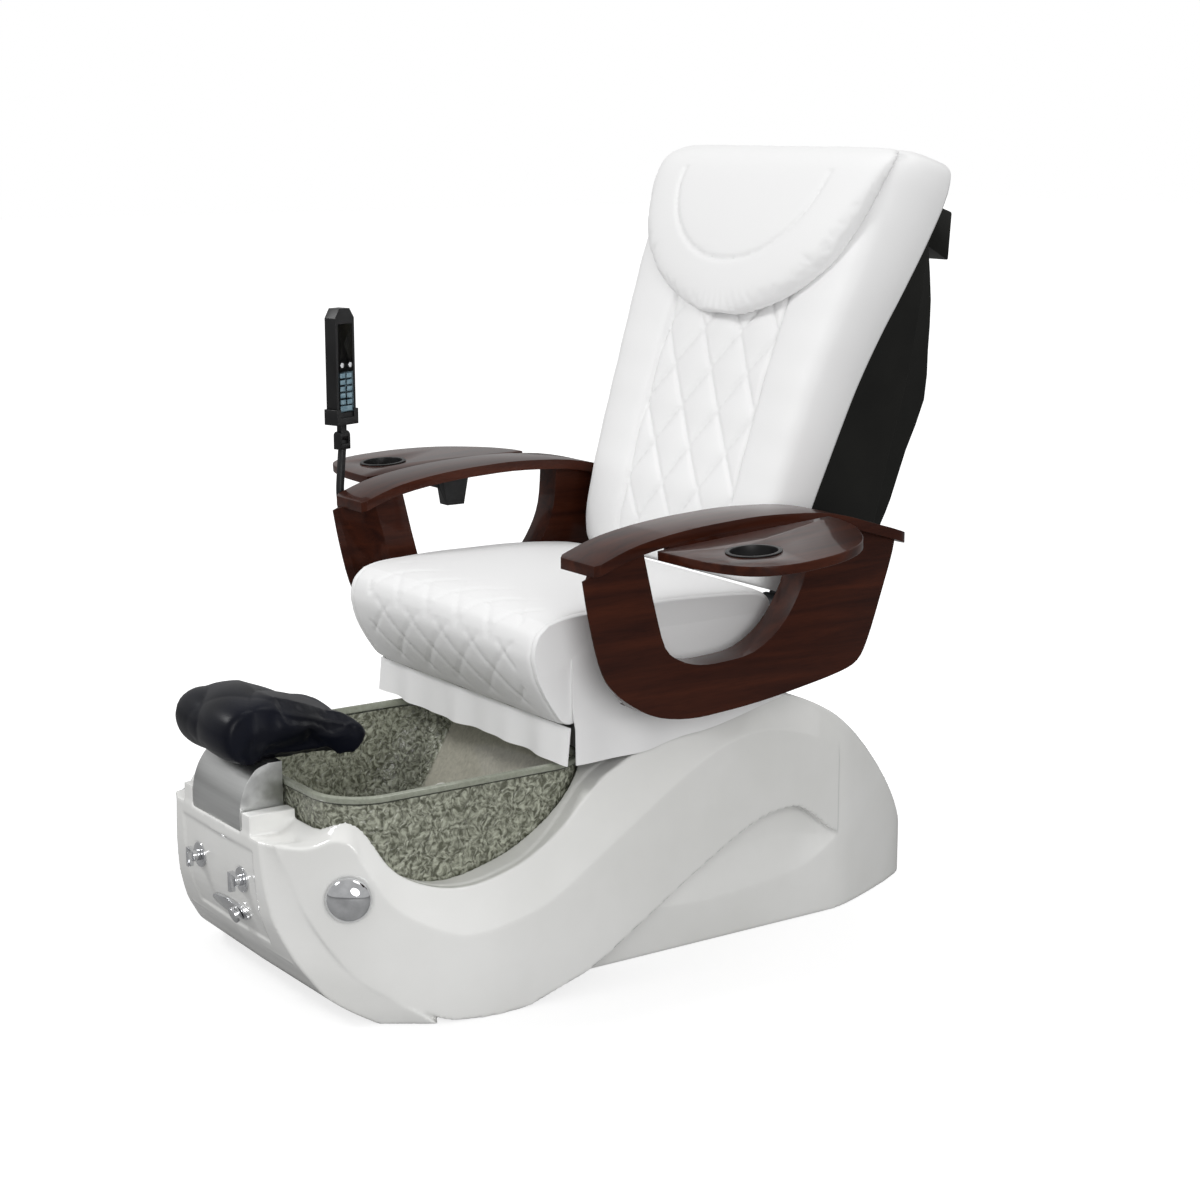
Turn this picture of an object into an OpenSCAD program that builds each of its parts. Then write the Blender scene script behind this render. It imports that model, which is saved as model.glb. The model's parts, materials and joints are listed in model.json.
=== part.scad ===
// Pedicure spa chair: a white moulded base with a glass foot bowl, and on it a
// massage chair with wooden arms, fold-up trays and a remote control.
// Millimetres, Z up. The sitter faces -Y, and +X is the sitter's left.
// The origin is on the floor, under the front edge of the seat.

/* [Base] */
// Length of the base from the front fascia to the rear foot
base_len = 1425; // [1370:5:1500]
// Width of the base across the wave-shaped side bands
base_w = 726; // [700:2:760]
// Height of the deck under the seat
deck_h = 440; // [430:2:446]
// Wall of the moulded base shell
shell_wall = 6; // [5:0.5:8]
// Height of the trough floor that the footrest stands on
trough_h = 306; // [295:1:310]

/* [Foot bowl] */
// Outside width of the bowl
bowl_w = 540; // [500:5:550]
// Outside length of the bowl
bowl_len = 505; // [480:5:520]
// Height of the bowl's rim above the floor
bowl_rim_h = 384; // [378:1:386]
// Height of the bowl's underside above the floor
bowl_base_h = 120; // [110:1:140]
// Wall of the bowl
bowl_wall = 7; // [5:0.5:10]
// Radius of the drain hole in the bowl
drain_r = 24; // [20:1:28]
// Outside radius of the waste pipe
waste_r = 20; // [16:1:22]

/* [Taps] */
// Distance of each tap from the middle of the fascia
tap_x = 81; // [75:1:84]
// Height of the taps above the floor
tap_h = 220; // [205:1:235]
// Radius of the round plate behind each tap
tap_plate_r = 22; // [18:1:26]
// Radius of the drain knob on the side
knob_r = 38; // [32:1:42]

/* [Footrest] */
// Width of the footrest bracket
bracket_w = 180; // [160:2:186]
// Sheet thickness of the footrest bracket
bracket_t = 2.5; // [2:0.5:4]
// Width of the footrest pad
pad_w = 206; // [190:2:220]

/* [Seat] */
// Width of the seat cushion
seat_w = 620; // [600:2:624]
// Height of the top of the seat cushion
seat_h = 656; // [650:1:658]
// Height of the lower edge of the front skirt
skirt_h = 392; // [391:1:396]
// Thickness of the skirt panels
skirt_t = 12; // [8:1:13]

/* [Arms] */
// Distance from the middle to the inner edge of an arm cap
arm_in = 328; // [326:1:336]
// Width of an arm cap
arm_w = 113; // [105:1:120]
// Thickness of an arm cap
cap_t = 19; // [16:1:24]
// Height of the top of the arm caps
arm_h = 804; // [796:1:820]
// Thickness of the arm panels below the caps
panel_t = 58; // [50:1:70]

/* [Trays] */
// Reach of a tray from its straight edge
tray_reach = 244; // [214:2:264]
// Length of a tray along the arm
tray_len = 360; // [340:2:400]
// Thickness of a tray
tray_t = 16; // [12:1:18]
// Radius of the cup hole in each tray
cup_r = 42; // [36:1:45]

/* [Back] */
// Lean of the back from upright
lean = 18.5; // [17:0.5:20]
// Height of the back cushion along the back
back_len = 842; // [800:2:860]
// Half width of the back cushion at the shoulders
shoulder_w = 345; // [335:1:350]
// Wall of the back shell
back_wall = 5; // [3:0.5:6]
// Radius of the recline pins
pivot_r = 8; // [6:0.5:9]

/* [Remote] */
// Width of the handset
handset_w = 52; // [46:1:56]
// Height of the handset
handset_h = 217; // [190:1:225]
// Thickness of the handset
handset_t = 28; // [24:1:30]

/* [Hidden] */

// Radial clearance of a shaft that turns or slides in its bore
run_gap = 0.05;
// Clearance between pieces that are seated against each other
seat_gap = 0.3;
// A little more than a surface, so that cuts go right through
eps = 1;

// ---------- outlines of the base ----------
// The outlines are drawn at these sizes and stretched to the driving ones.
base_front = -505;
drawn_len = 1425;
drawn_w = 726;
drawn_h = 440;

function curve_at(a, b, c, d, t) =
    (2 * b + (c - a) * t + (2 * a - 5 * b + 4 * c - d) * t * t
    + (3 * b - a - 3 * c + d) * t * t * t) / 2;
function curve(p, n) = [for (i = [0:len(p) - 2]) for (k = [0:n - 1])
    curve_at(p[max(i - 1, 0)], p[i], p[i + 1], p[min(i + 2, len(p) - 1)], k / n),
    p[len(p) - 1]];
function stretch_y(y) = base_front + (y - base_front) * base_len / drawn_len;
drawn_rear = 920;
base_rear = stretch_y(drawn_rear);
function drawn_y(y) = base_front + (y - base_front) * drawn_len / base_len;
function stretch(p) = [for (q = p) [stretch_y(q[0]), q[1] * deck_h / drawn_h]];

// Half width of the base over its wave bands: [y, half width]
band_plan = [[-505, 158], [-470, 200], [-430, 240], [-400, 265], [-350, 300], [-300, 325],
    [-250, 345], [-200, 358], [-150, 363], [-100, 362], [0, 357], [100, 350], [200, 341],
    [300, 331], [400, 319], [500, 305], [600, 286], [640, 277.5]];
// Half width of the upright body between the bands
body_plan = [[-460, 190], [-430, 215], [-400, 232], [-350, 255], [-300, 276], [-250, 294],
    [-200, 308], [-150, 314], [-100, 314], [-50, 306], [0, 290], [60, 277], [150, 277],
    [300, 277], [450, 277], [600, 277], [650, 273], [700, 258], [760, 235], [820, 210],
    [860, 190], [885, 172], [905, 140], [920, 95]];
// Top of the base: the front block, the dip beside the bowl and the hump
top_edge = [[-500, 306], [-470, 306], [-440, 308], [-415, 322], [-395, 338], [-378, 343],
    [-361, 328], [-345, 300], [-324, 265], [-295, 241], [-249, 224], [-199, 221],
    [-144, 231], [-83, 250], [-21, 285], [22, 321], [65, 357], [105, 376], [154, 394],
    [220, 408], [293, 420], [370, 432], [442, 440], [500, 434], [550, 420], [626, 380],
    [708, 315], [788, 236], [850, 160], [885, 100], [902, 50], [920, 6]];
// Lower edge of the wave bands: down the front, along the floor and up again
band_low = [[-484, 306], [-469, 265], [-451, 197], [-415, 123], [-376, 75], [-334, 46],
    [-289, 21], [-251, 4], [-200, 0], [-150, 0], [-103, 2], [-43, 18], [30, 39],
    [132, 91], [271, 161], [406, 218], [498, 228], [554, 208], [613, 163], [645, 146]];
// Lower edge of the bevel along the top of the wave bands
bevel_low = [[-484, 302], [-440, 312], [-410, 318], [-385, 306], [-365, 262], [-325, 200],
    [-250, 155], [-199, 148], [-130, 158], [-57, 178], [37, 230], [140, 288], [234, 338],
    [339, 380], [449, 384], [570, 344], [645, 285]];
// Slices of the front block from the floor up: height, edge of the fascia (x, y),
// start of the band (x, y)
front_slices = [[0, 285, -350, 340, -270], [21, 262, -388, 328, -300], [46, 240, -421, 306, -338],
    [75, 226, -442, 280, -378], [108, 210, -462, 258, -405], [162, 186, -483, 228, -437],
    [197, 176, -490, 216, -452], [230, 169, -494, 208, -461], [265, 163, -496, 200, -470],
    [306, 156, -497, 190, -484]];

curve_steps = 2;
band_table = curve(band_plan, curve_steps);
body_table = curve(body_plan, curve_steps);
top_table = curve(top_edge, curve_steps);
low_table = curve(band_low, curve_steps);
bevel_table = curve(bevel_low, curve_steps);

function band_half(y) = lookup(drawn_y(y), band_table) * base_w / drawn_w;
function body_half(y) = lookup(drawn_y(y), body_table) * base_w / drawn_w;
function top_z(y) = lookup(drawn_y(y), top_table) * deck_h / drawn_h;
function low_z(y) = max(0, lookup(drawn_y(y), low_table)) * deck_h / drawn_h;
function bevel_z(y) = lookup(drawn_y(y), bevel_table) * deck_h / drawn_h;

// Closed outline moved inwards by d; the outline runs anticlockwise
function unit(v) = v / norm(v);
function left_of(v) = [-v[1], v[0]];
function inset(p, d) = let (n = len(p)) [for (i = [0:n - 1])
    let (a = left_of(unit(p[i] - p[(i + n - 1) % n])), b = left_of(unit(p[(i + 1) % n] - p[i])))
    p[i] + d * (a + b) / max(0.4, 1 + a * b)];

plan_ys = [for (q = body_table) stretch_y(q[0])];
body_outline = concat([for (y = plan_ys) [body_half(y), y]],
    [for (i = [len(plan_ys) - 1:-1:0]) [-body_half(plan_ys[i]), plan_ys[i]]]);
side_top = [for (i = [len(top_table) - 1:-1:0]) top_table[i]];
side_start = -460;
side_outline = stretch(concat([[drawn_rear, 0]],
    [for (q = side_top) if (q[0] > side_start) q],
    [[side_start, lookup(side_start, top_table)], [side_start, 100], [side_start + 120, 20],
        [side_start + 180, 0]]));
side_cavity = [for (q = inset(side_outline, shell_wall)) [q[0], q[1] < shell_wall + 0.1 ? -eps : q[1]]];

// Draws an outline of [y, z] points as a slab that runs along X
module along_x(x0, x1) {
    translate([x0, 0, 0]) rotate([90, 0, 90]) linear_extrude(x1 - x0) children();
}

// Joins rings of points into a solid. Seen from the first ring, looking towards
// the last, each ring runs anticlockwise. Faces are triangles. A woven surface
// turns every other diagonal, so that sewn diamonds run along the edges.
module loft(rings, woven = false) {
    n = len(rings[0]);
    m = len(rings);
    points = [for (r = rings) each r];
    sides = [for (i = [0:m - 2]) for (j = [0:n - 1])
        let (a = i * n + j, b = i * n + (j + 1) % n, c = b + n, d = a + n)
        each (woven && (i + j) % 2 == 1 ? [[a, b, d], [b, c, d]] : [[a, b, c], [a, c, d]])];
    first = [for (j = [1:n - 2]) [0, j + 1, j]];
    last = [for (j = [1:n - 2]) (m - 1) * n * [1, 1, 1] + [0, j, j + 1]];
    polyhedron(points, concat(sides, first, last), convexity = 6);
}

// ---------- base ----------
white = [0.93, 0.93, 0.92];
steel = [0.62, 0.63, 0.65];
chrome = [0.82, 0.83, 0.85];
black = [0.1, 0.1, 0.1];
wood = [0.36, 0.16, 0.11];
hide = [0.9, 0.9, 0.9];

body_top = deck_h + 60;
block_h = front_slices[len(front_slices) - 1][0] * deck_h / drawn_h;
block_y = base_front + 95;
bowl_y0 = block_y;
bowl_y1 = bowl_y0 + bowl_len;
bowl_corner = 90;
bowl_gap = 0.4;
drain_y = bowl_y0 + 210;
trough_w = bracket_w + 6;
service_h = 52;
hose_r = 7;
post = 40;
post_x = 170;
post_ys = [190, 440];
rail_h = deck_h + 4;

module bowl_outline(grow) {
    w = bowl_w / 2 + grow;
    r = bowl_corner + grow;
    union() {
        translate([-w + r, bowl_y0 - grow]) square([2 * (w - r), bowl_len + 2 * grow]);
        translate([-w, bowl_y0 - grow + r]) square([2 * w, bowl_len + 2 * grow - 2 * r]);
        for (sx = [-1, 1]) for (y = [bowl_y0 - grow + r, bowl_y1 + grow - r])
            translate([sx * (w - r), y]) circle(r, $fn = 96);
    }
}

module front_block(t) {
    // t is the wall taken off the front, the sides and the top
    k = base_w / drawn_w;
    right = function (q) [[k * (q[1] - t), stretch_y(q[2]) + t],
        [k * (q[3] - t), stretch_y(q[4]) + t * 0.7],
        [k * (240 - t), stretch_y(-220)]];
    middle = function (q) [0, stretch_y(q[2]) - 3 + t];
    loft([for (q = front_slices) let (r = right(q),
        z = q[0] == 0 ? (t > 0 ? -eps : 0) : q[0] * deck_h / drawn_h - (q[0] > 270 ? t : 0))
        [for (p = concat([for (i = [len(r) - 1:-1:0]) r[i]], [middle(q)],
            [for (p = r) [-p[0], p[1]]])) [p[0], p[1], z]]]);
}

// Each band is a row of cross sections: foot, outer face, bevel, top and inner face
bevel_w = 30;
band_start = -483;
band_end = 640;
band_ys = concat([band_start], [for (q = top_table) if (q[0] > band_start + 5
    && q[0] < band_end - 8) q[0]], [band_end]);
band_dip = 0.6; // the band's top stays under the body's where the two run into each other
module wave_band(side, t) {
    ys = [for (y = band_ys) if (t == 0 || (y > -450 && y < 580)) stretch_y(y)];
    rows = [for (y = ys)
        let (core = body_half(y), xo = band_half(y) - t, b = min(bevel_w, max(6, xo - core + 2)),
            xi = min(core, xo - b) - 10, zt = top_z(y) - t - (xo - b < core ? band_dip : 0), zl =
                min(low_z(y) + t, zt - 12),
            zg = max(min(bevel_z(y) - t / 2, zt - 4), zl + 4))
        [[xi, y, zl], [xo, y, zl], [xo, y, zg], [xo - b, y, zt], [xi, y, zt - 3]]];
    if (side > 0) loft(rows);
    else loft([for (r = rows) [for (k = [len(r) - 1:-1:0]) [-r[k][0], r[k][1], r[k][2]]]]);
}

rib_x0 = trough_w / 2;
rib_w = 32;
rib_h = trough_h + 34;
module trough_block(t) {
    // the trough's floor and side ribs, solid through the top of the front block
    translate([-rib_x0 - rib_w - t, base_front + 9, trough_h - 8])
        cube([2 * (rib_x0 + rib_w + t), block_y - base_front - 9, 27 - t]);
    for (sx = [-1, 1]) translate([sx > 0 ? rib_x0 - 1 : -rib_x0 - rib_w, base_front + 9, trough_h - 8])
        cube([rib_w + 1, block_y - base_front - 9, rib_h - trough_h + 8]);
}

module moulding() {
    difference() {
        union() {
            intersection() {
                linear_extrude(body_top) polygon(body_outline);
                along_x(-base_w, base_w) polygon(side_outline);
            }
            front_block(0);
            wave_band(1, 0);
            wave_band(-1, 0);
            trough_block(0);
        }
        difference() {
            union() {
                intersection() {
                    translate([0, 0, -eps]) linear_extrude(body_top)
                        polygon(inset(body_outline, shell_wall));
                    along_x(-base_w, base_w) polygon(side_cavity);
                }
                front_block(2 * shell_wall);
                wave_band(1, shell_wall);
                wave_band(-1, shell_wall);
            }
            trough_block(0);
        }
    }
}

panel_x = 105;
panel_z0 = 105;
panel_z1 = 320;
module panel_window(gap) {
    translate([-panel_x + gap, base_rear - 240, panel_z0 + gap])
        cube([2 * (panel_x - gap), 300, panel_z1 - panel_z0 - 2 * gap]);
}

inlet_x = 81;
leaf_low = [[190, 88], [300, 78], [423, 84], [558, 102], [640, 146]];
module leaf(side) {
    // The pocket below the rear of each band is a long leaf, deepest at its top
    upper = [for (q = low_table) if (q[0] > 180) [stretch_y(q[0]), q[1] * deck_h / drawn_h]];
    lower = stretch(curve(leaf_low, 4));
    outline = concat(lower, [for (i = [len(upper) - 1:-1:0]) upper[i]]);
    depth = shell_wall / 2;
    scale([side, 1, 1]) along_x(body_half(300) - depth, body_half(300) + 30) polygon(outline);
}

trough_y0 = base_front - 20;
trough_y1 = block_y + 10;
slot_w = 40;
slot_y0 = base_front + 20;
slot_y1 = block_y - 14;
fascia_x = 134;
fascia_z0 = 118;
fascia_z1 = 284;
fascia_in = 5;
function fascia_y(z) = stretch_y(lookup(z * drawn_h / deck_h,
    [for (q = front_slices) [q[0], q[2] - 3]]));
module fascia_recess() {
    // shallow field that carries the taps; it follows the curve of the fascia
    steps = [for (k = [0:8]) fascia_z0 + (fascia_z1 - fascia_z0) * k / 8];
    along_x(-fascia_x, fascia_x) polygon(concat([for (z = steps) [fascia_y(z) - 20, z]],
        [for (k = [8:-1:0]) [fascia_y(steps[k]) + fascia_in, steps[k]]]));
}
module base_shell() color(white) difference() {
    moulding();
    translate([0, 0, bowl_base_h - 20]) linear_extrude(body_top) bowl_outline(bowl_gap);
    // trough between the ribs that guide the footrest bracket, with its slot
    translate([-trough_w / 2, trough_y0, trough_h]) cube([trough_w, trough_y1 - trough_y0, 80]);
    translate([-slot_w / 2, slot_y0, trough_h - 40]) cube([slot_w, slot_y1 - slot_y0, 60]);
    translate([-slot_w / 2 - 12, slot_y0, trough_h - 40])
        cube([slot_w + 24, slot_y1 - slot_y0 + 1, 32]);
    fascia_recess();
    leaf(1);
    leaf(-1);
    panel_window(0);
    at_knob() translate([0, 0, -80]) cylinder(h = 120, r = knob_shaft_r + run_gap, $fn = 48);
    at_knob() translate([0, 0, -3]) cylinder(h = 40, r = knob_r + 2, $fn = 96);
    for (sx = [-1, 1]) for (y = post_ys)
        translate([sx * post_x - post / 2 - 0.5, y - post / 2 - 0.5, deck_h - 120])
            cube([post + 1, post + 1, 160]);
    for (sx = [-1, 1]) translate([sx * tap_x, base_front - 20, tap_h])         rotate([-90, 0, 0])
        cylinder(h = 70, r = 9, $fn = 48);
    // flat seats for the tap plates
    for (sx = [-1, 1]) translate([sx * tap_x, base_front - 20, tap_h])
        rotate([-90, 0, 0]) cylinder(h = tap_wall_y - base_front + 20, r = tap_plate_r + 1, $fn = 96);

        at_spray() translate([spray_x, -40, 0]) rotate([-90, 0, 0])
        cylinder(h = 130, r = spray_sleeve_r, $fn = 48);
    translate([0, base_rear - 80, service_h]) rotate([-90, 0, 0])
        cylinder(h = 120, r = waste_r + 0.5, $fn = 64);
    for (sx = [-1, 1]) translate([sx * inlet_x, base_rear - 80, service_h]) rotate([-90, 0, 0])
        cylinder(h = 120, r = 11, $fn = 48);
    translate([spout_x, bowl_y1 + 35, deck_h - 160]) cylinder(h = 200, r = spout_r + 0.4, $fn = 48);
}

module rear_panel() color(white) intersection() {
    moulding();
    panel_window(seat_gap);
}

// The drain knob stands square to the curved band at this point
knob_y = stretch_y(-393);
knob_h = 220;
knob_slope = (band_half(knob_y + 10) - band_half(knob_y - 10)) / 20;
knob_turn = -atan(knob_slope);
knob_shaft_r = 6;
module at_knob() {
    translate([band_half(knob_y), knob_y, knob_h]) rotate([0, 90, knob_turn]) children();
}
module drain_knob() color(chrome) at_knob() {
    // a dome on a low collar, with the shaft that pulls the drain cable
    dome = [for (i = [0:12]) let (t = 90 * i / 12) [knob_r * cos(t), 8 + knob_r * 0.55 * sin(t)]];
    translate([0, 0, -3 + seat_gap]) rotate_extrude($fn = 96)
        polygon(concat([[0, 0], [knob_r - 3, 0], [knob_r, 3]], [for (p = dome) [max(p[0], 0), p[1]]]));
    translate([0, 0, -18]) cylinder(h = 20, r = knob_shaft_r, $fn = 48);
}

frame_x = 150;
tube = 30;
frame_y0 = base_front + 185;
frame_y1 = base_rear - 130;
cross_ys = [frame_y0, 0, post_ys[0] - tube / 2, post_ys[1] - tube / 2, frame_y1 - tube];

module floor_frame() color(steel) union() {
    for (sx = [-1, 1]) translate([sx * frame_x - tube / 2, frame_y0, 0])
        cube([tube, frame_y1 - frame_y0, tube]);
    for (y = cross_ys) translate([-frame_x - tube / 2, y - (y == 0 ? tube / 2 : 0), 0])
        cube([2 * frame_x + tube, tube, tube]);
    // short posts under the bowl and tall posts through the deck to the seat rails
    for (sx = [-1, 1]) for (y = [frame_y0 + 5, drain_y + 60])
        translate([sx * frame_x - tube / 2, y, 0]) cube([tube, tube, bowl_base_h]);
    for (sx = [-1, 1]) for (y = post_ys) {
        translate([sx * post_x - post / 2, y - post / 2, 0]) cube([post, post, rail_h]);
    }
}

// Side view of the bowl: upright front, flat floor and a rear that leans back
bowl_foot_y0 = bowl_y0 + 60;
bowl_foot_y1 = bowl_y1 - 175;
bowl_knee = bowl_base_h + 14;
function bowl_side(t) = [[bowl_y0 + t, bowl_rim_h + (t > 0 ? eps : 0)],
    [bowl_y0 + t + 4, bowl_base_h + 110], [bowl_y0 + t + 22, bowl_base_h + 46 + t / 2],
    [bowl_foot_y0 + t / 2, bowl_base_h + t], [bowl_foot_y1 - t / 2, bowl_base_h + t],
    [bowl_foot_y1 + 30 - t, bowl_knee + t], [bowl_y1 - t - 14, bowl_rim_h - 60],
    [bowl_y1 - t, bowl_rim_h - 34], [bowl_y1 - t, bowl_rim_h + (t > 0 ? eps : 0)]];
wall_run = [bowl_y1 - 14 - bowl_foot_y1 - 30, bowl_rim_h - 60 - bowl_knee];
wall_tilt = atan(wall_run[0] / wall_run[1]);
jet_x = -100;
jet_rise = 0.42;
jet_y = bowl_foot_y1 + 30 + wall_run[0] * jet_rise;
jet_z = bowl_knee + wall_run[1] * jet_rise;
jet_bore = 32;
module at_jet() {
    // local Z points out of the bowl, square to its leaning rear wall
    translate([jet_x, jet_y, jet_z]) rotate([-90 - wall_tilt, 0, 0]) children();
}
module bowl() color([0.7, 0.73, 0.68, 0.5]) difference() {
    intersection() {
        translate([0, 0, bowl_base_h - eps]) linear_extrude(body_top) bowl_outline(0);
        along_x(-bowl_w, bowl_w) polygon(bowl_side(0));
    }
    intersection() {
        translate([0, 0, bowl_base_h - eps]) linear_extrude(body_top) bowl_outline(-bowl_wall);
        along_x(-bowl_w, bowl_w) polygon(bowl_side(bowl_wall));
    }
    translate([0, drain_y, bowl_base_h - eps]) cylinder(h = 40, r = drain_r, $fn = 64);
    at_jet() translate([0, 0, -40]) cylinder(h = 80, r = jet_bore, $fn = 64);
}

jet_r = 40;
cup_len = 34;
jet_shaft_r = 4;
module jet_housing() color(white) at_jet() difference() {
    union() {
        translate([0, 0, 0.2]) cylinder(h = cup_len, r = jet_r, $fn = 96);
        translate([0, 0, -bowl_wall - 8]) cylinder(h = bowl_wall + 9, r = jet_bore - 0.3, $fn = 96);
        translate([0, 0, -bowl_wall - 14]) cylinder(h = 6, r = jet_r, $fn = 96);
    }
    translate([0, 0, -bowl_wall - 8]) cylinder(h = 90, r = jet_bore - 4, $fn = 96);
    for (k = [0:5]) rotate([0, 0, 60 * k]) translate([16, 0, -bowl_wall - 15])
        cylinder(h = 10, r = 5, $fn = 32);
}
module jet_motor() color(black) at_jet() difference() {
    translate([0, 0, cup_len + 0.2]) union() {
        cylinder(h = 70, r = jet_r - 2, $fn = 96);
        translate([0, 0, 70]) cylinder(h = 12, r = 20, $fn = 64);
    }
    translate([0, 0, cup_len - eps]) cylinder(h = 34, r = jet_shaft_r + run_gap, $fn = 48);
}
module jet_impeller() color(white) at_jet() union() {
    translate([0, 0, 10]) cylinder(h = cup_len + 20, r = jet_shaft_r, $fn = 48);
    translate([0, 0, 8]) cylinder(h = 14, r = 10, $fn = 48);
    for (k = [0:3]) rotate([0, 0, 90 * k]) translate([6, -1.5, 9]) cube([18, 3, 12]);
}

strainer_h = bowl_base_h + bowl_wall;
stem_r = 4;
plug_lift = 10;
module drain_strainer() color(chrome) translate([0, drain_y, 0]) difference() {
    union() {
        translate([0, 0, strainer_h + 0.1]) cylinder(h = 3, r = drain_r + 8, $fn = 96);
        translate([0, 0, bowl_base_h - 22]) cylinder(h = bowl_wall + 24, r = drain_r - 0.2, $fn = 96);
    }
    difference() {
        translate([0, 0, bowl_base_h - 30]) cylinder(h = 80, r = drain_r - 4, $fn = 96);
        translate([0, 0, bowl_base_h - 16]) cylinder(h = 8, r = 9, $fn = 48);
        translate([-drain_r + 1, -2, bowl_base_h - 16]) cube([2 * drain_r - 2, 4, 8]);
    }
    translate([0, 0, bowl_base_h - 40]) cylinder(h = 60, r = stem_r + run_gap, $fn = 48);
}
module drain_plug() color(chrome) translate([0, drain_y, 0]) union() {
    translate([0, 0, strainer_h + 3.1 + seat_gap]) cylinder(h = 4, r = drain_r - 1, $fn = 96);
    translate([0, 0, bowl_base_h - 20]) cylinder(h = strainer_h - bowl_base_h + 26, r = stem_r, $fn =
        48);
}

// The waste pipe drops from the strainer and runs back under the bowl
waste_wall = 3;
waste_end = base_rear + 30;
module pipe(r, points) {
    // straight lengths with a ball at each corner
    union() {
        for (i = [0:len(points) - 2]) let (d = points[i + 1] - points[i], l = norm(d))
            translate(points[i]) rotate([0, acos(d[2] / l), atan2(d[1], d[0])])
                cylinder(h = l, r = r, $fn = 48);
        for (i = [1:len(points) - 2]) translate(points[i]) sphere(r, $fn = 48);
    }
}
// Route with every corner rounded by an arc that starts at distance d from it
function rounded(p, d) = concat([p[0]], [for (i = [1:len(p) - 2])
    let (a = unit(p[i - 1] - p[i]), b = unit(p[i + 1] - p[i]))
    each [for (t = [0:0.25:1]) p[i] + d * ((1 - t) * (1 - t) * a + t * t * b)]], [p[len(p) - 1]]);
function hose_ring(p, i, r, side) = let (n = len(p),
    along = unit(p[min(i + 1, n - 1)] - p[max(i - 1, 0)]), u = unit(cross(side, along)), v =
        cross(along, u))
    [for (t = [0:36:324]) p[i] + r * (cos(t) * u - sin(t) * v)];
// Round hose along a route; side is a direction that the route never points in
module hose(r, route, d, side) {
    p = rounded(route, d);
    loft([for (i = [0:len(p) - 1]) hose_ring(p, i, r, side)]);
}
ferrule_len = 24;
ferrule_step = 1.5;
collar_h = 14;
tail_h = bowl_base_h - 22 - seat_gap;

module drain_pipe() color([0.85, 0.85, 0.83]) difference() {
    union() {
        pipe(waste_r - ferrule_step, [[0, drain_y, tail_h], [0, drain_y, service_h],
            [0, waste_end, service_h]]);
        // slip collar that the strainer's tail sits on
        translate([0, drain_y, tail_h - collar_h]) cylinder(h = collar_h, r = drain_r, $fn = 96);

        // ferrule that the waste hose is clamped on
        translate([0, waste_end - ferrule_len, service_h]) rotate([-90, 0, 0])
            cylinder(h = ferrule_len, r = waste_r, $fn = 96);
    }
    pipe(waste_r - ferrule_step - waste_wall, [[0, drain_y, bowl_base_h], [0, drain_y, service_h],
        [0, waste_end + eps, service_h]]);
}

spout_x = 40;
spout_r = 11;
spout_y = bowl_y1 + 35;
spout_hose_y = base_front + 62;
spout_hose_h = bowl_base_h - 22;
spout_reach = 14;
// the channel lies over the rim, and always over the deck behind it
spout_top = max(bowl_rim_h + 14, top_z(spout_y + spout_reach) + 4);
module fill_spout() color(chrome) union() {
    translate([spout_x, spout_y, top_z(spout_y) - 12]) cylinder(h = spout_top - top_z(spout_y) + 14,
        r = spout_r, $fn = 48);
    translate([spout_x - 26, bowl_y1 - 42, spout_top]) cube([52, spout_y - bowl_y1 + 54, 6]);
    for (sx = [-26, 22]) translate([spout_x + sx, bowl_y1 - 42, spout_top]) cube([4, 60, 12]);
}
hose_bend = 24;
spout_leg_x = -10;

module spout_hose() color([0.75, 0.75, 0.72]) union() {
    hose(hose_r, [[spout_leg_x, spout_hose_y, tap_h], [spout_leg_x, spout_hose_y, spout_hose_h],
        [spout_x, spout_hose_y + 110, spout_hose_h], [spout_x, spout_y, spout_hose_h],
        [spout_x, spout_y, top_z(spout_y) - 12 - 0.1]], hose_bend, [1, 0, 0]);
    translate([-tap_x + valve_r, spout_hose_y, tap_h]) rotate([0, 90, 0])
        cylinder(h = 2 * (tap_x - valve_r), r = hose_r + 1, $fn = 48);
}

valve_r = 16;
tap_shaft_r = 5;
tap_wall_y = fascia_y(tap_h - tap_plate_r / 2) + fascia_in;
valve_y0 = tap_wall_y + 2 * shell_wall - fascia_in + 4;
valve_y1 = spout_hose_y + 14;
module valve(sx) {
    difference() {
        translate([sx * tap_x, valve_y0, tap_h]) rotate([-90, 0, 0])
            cylinder(h = valve_y1 - valve_y0, r = valve_r, $fn = 64);
        translate([sx * tap_x, valve_y0 - eps, tap_h]) rotate([-90, 0, 0])
            cylinder(h = 24, r = tap_shaft_r + run_gap, $fn = 48);
    }
}
module hot_valve() color([0.75, 0.6, 0.3]) valve(-1);
module cold_valve() color([0.75, 0.6, 0.3]) valve(1);

plate_t = 4;
plate_y = tap_wall_y - plate_t - 0.2;
module tap_plates() color(chrome) for (sx = [-1, 1]) translate([sx * tap_x, plate_y, tap_h])
    rotate([-90, 0, 0]) difference() {
    union() {
        cylinder(h = plate_t, r = tap_plate_r, $fn = 96);
        translate([0, 0, plate_t - 0.5]) cylinder(h = valve_y0 - plate_y - plate_t + 0.3, r = 8.6,
            $fn = 48);
    }
    translate([0, 0, -eps]) cylinder(h = 40, r = tap_shaft_r + 0.5, $fn = 48);
}
module handle(sx) {
    translate([sx * tap_x, plate_y, tap_h]) rotate([-90, 0, 0]) union() {
        translate([0, 0, -14]) cylinder(h = 14 - seat_gap, r = 10, $fn = 64);
        translate([0, 0, -1]) cylinder(h = valve_y0 - plate_y + 16, r = tap_shaft_r, $fn = 48);
        translate([-4, -17, -22]) cube([8, 34, 10]);
    }
}
module hot_handle() color(chrome) handle(-1);
module cold_handle() color(chrome) handle(1);

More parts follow.
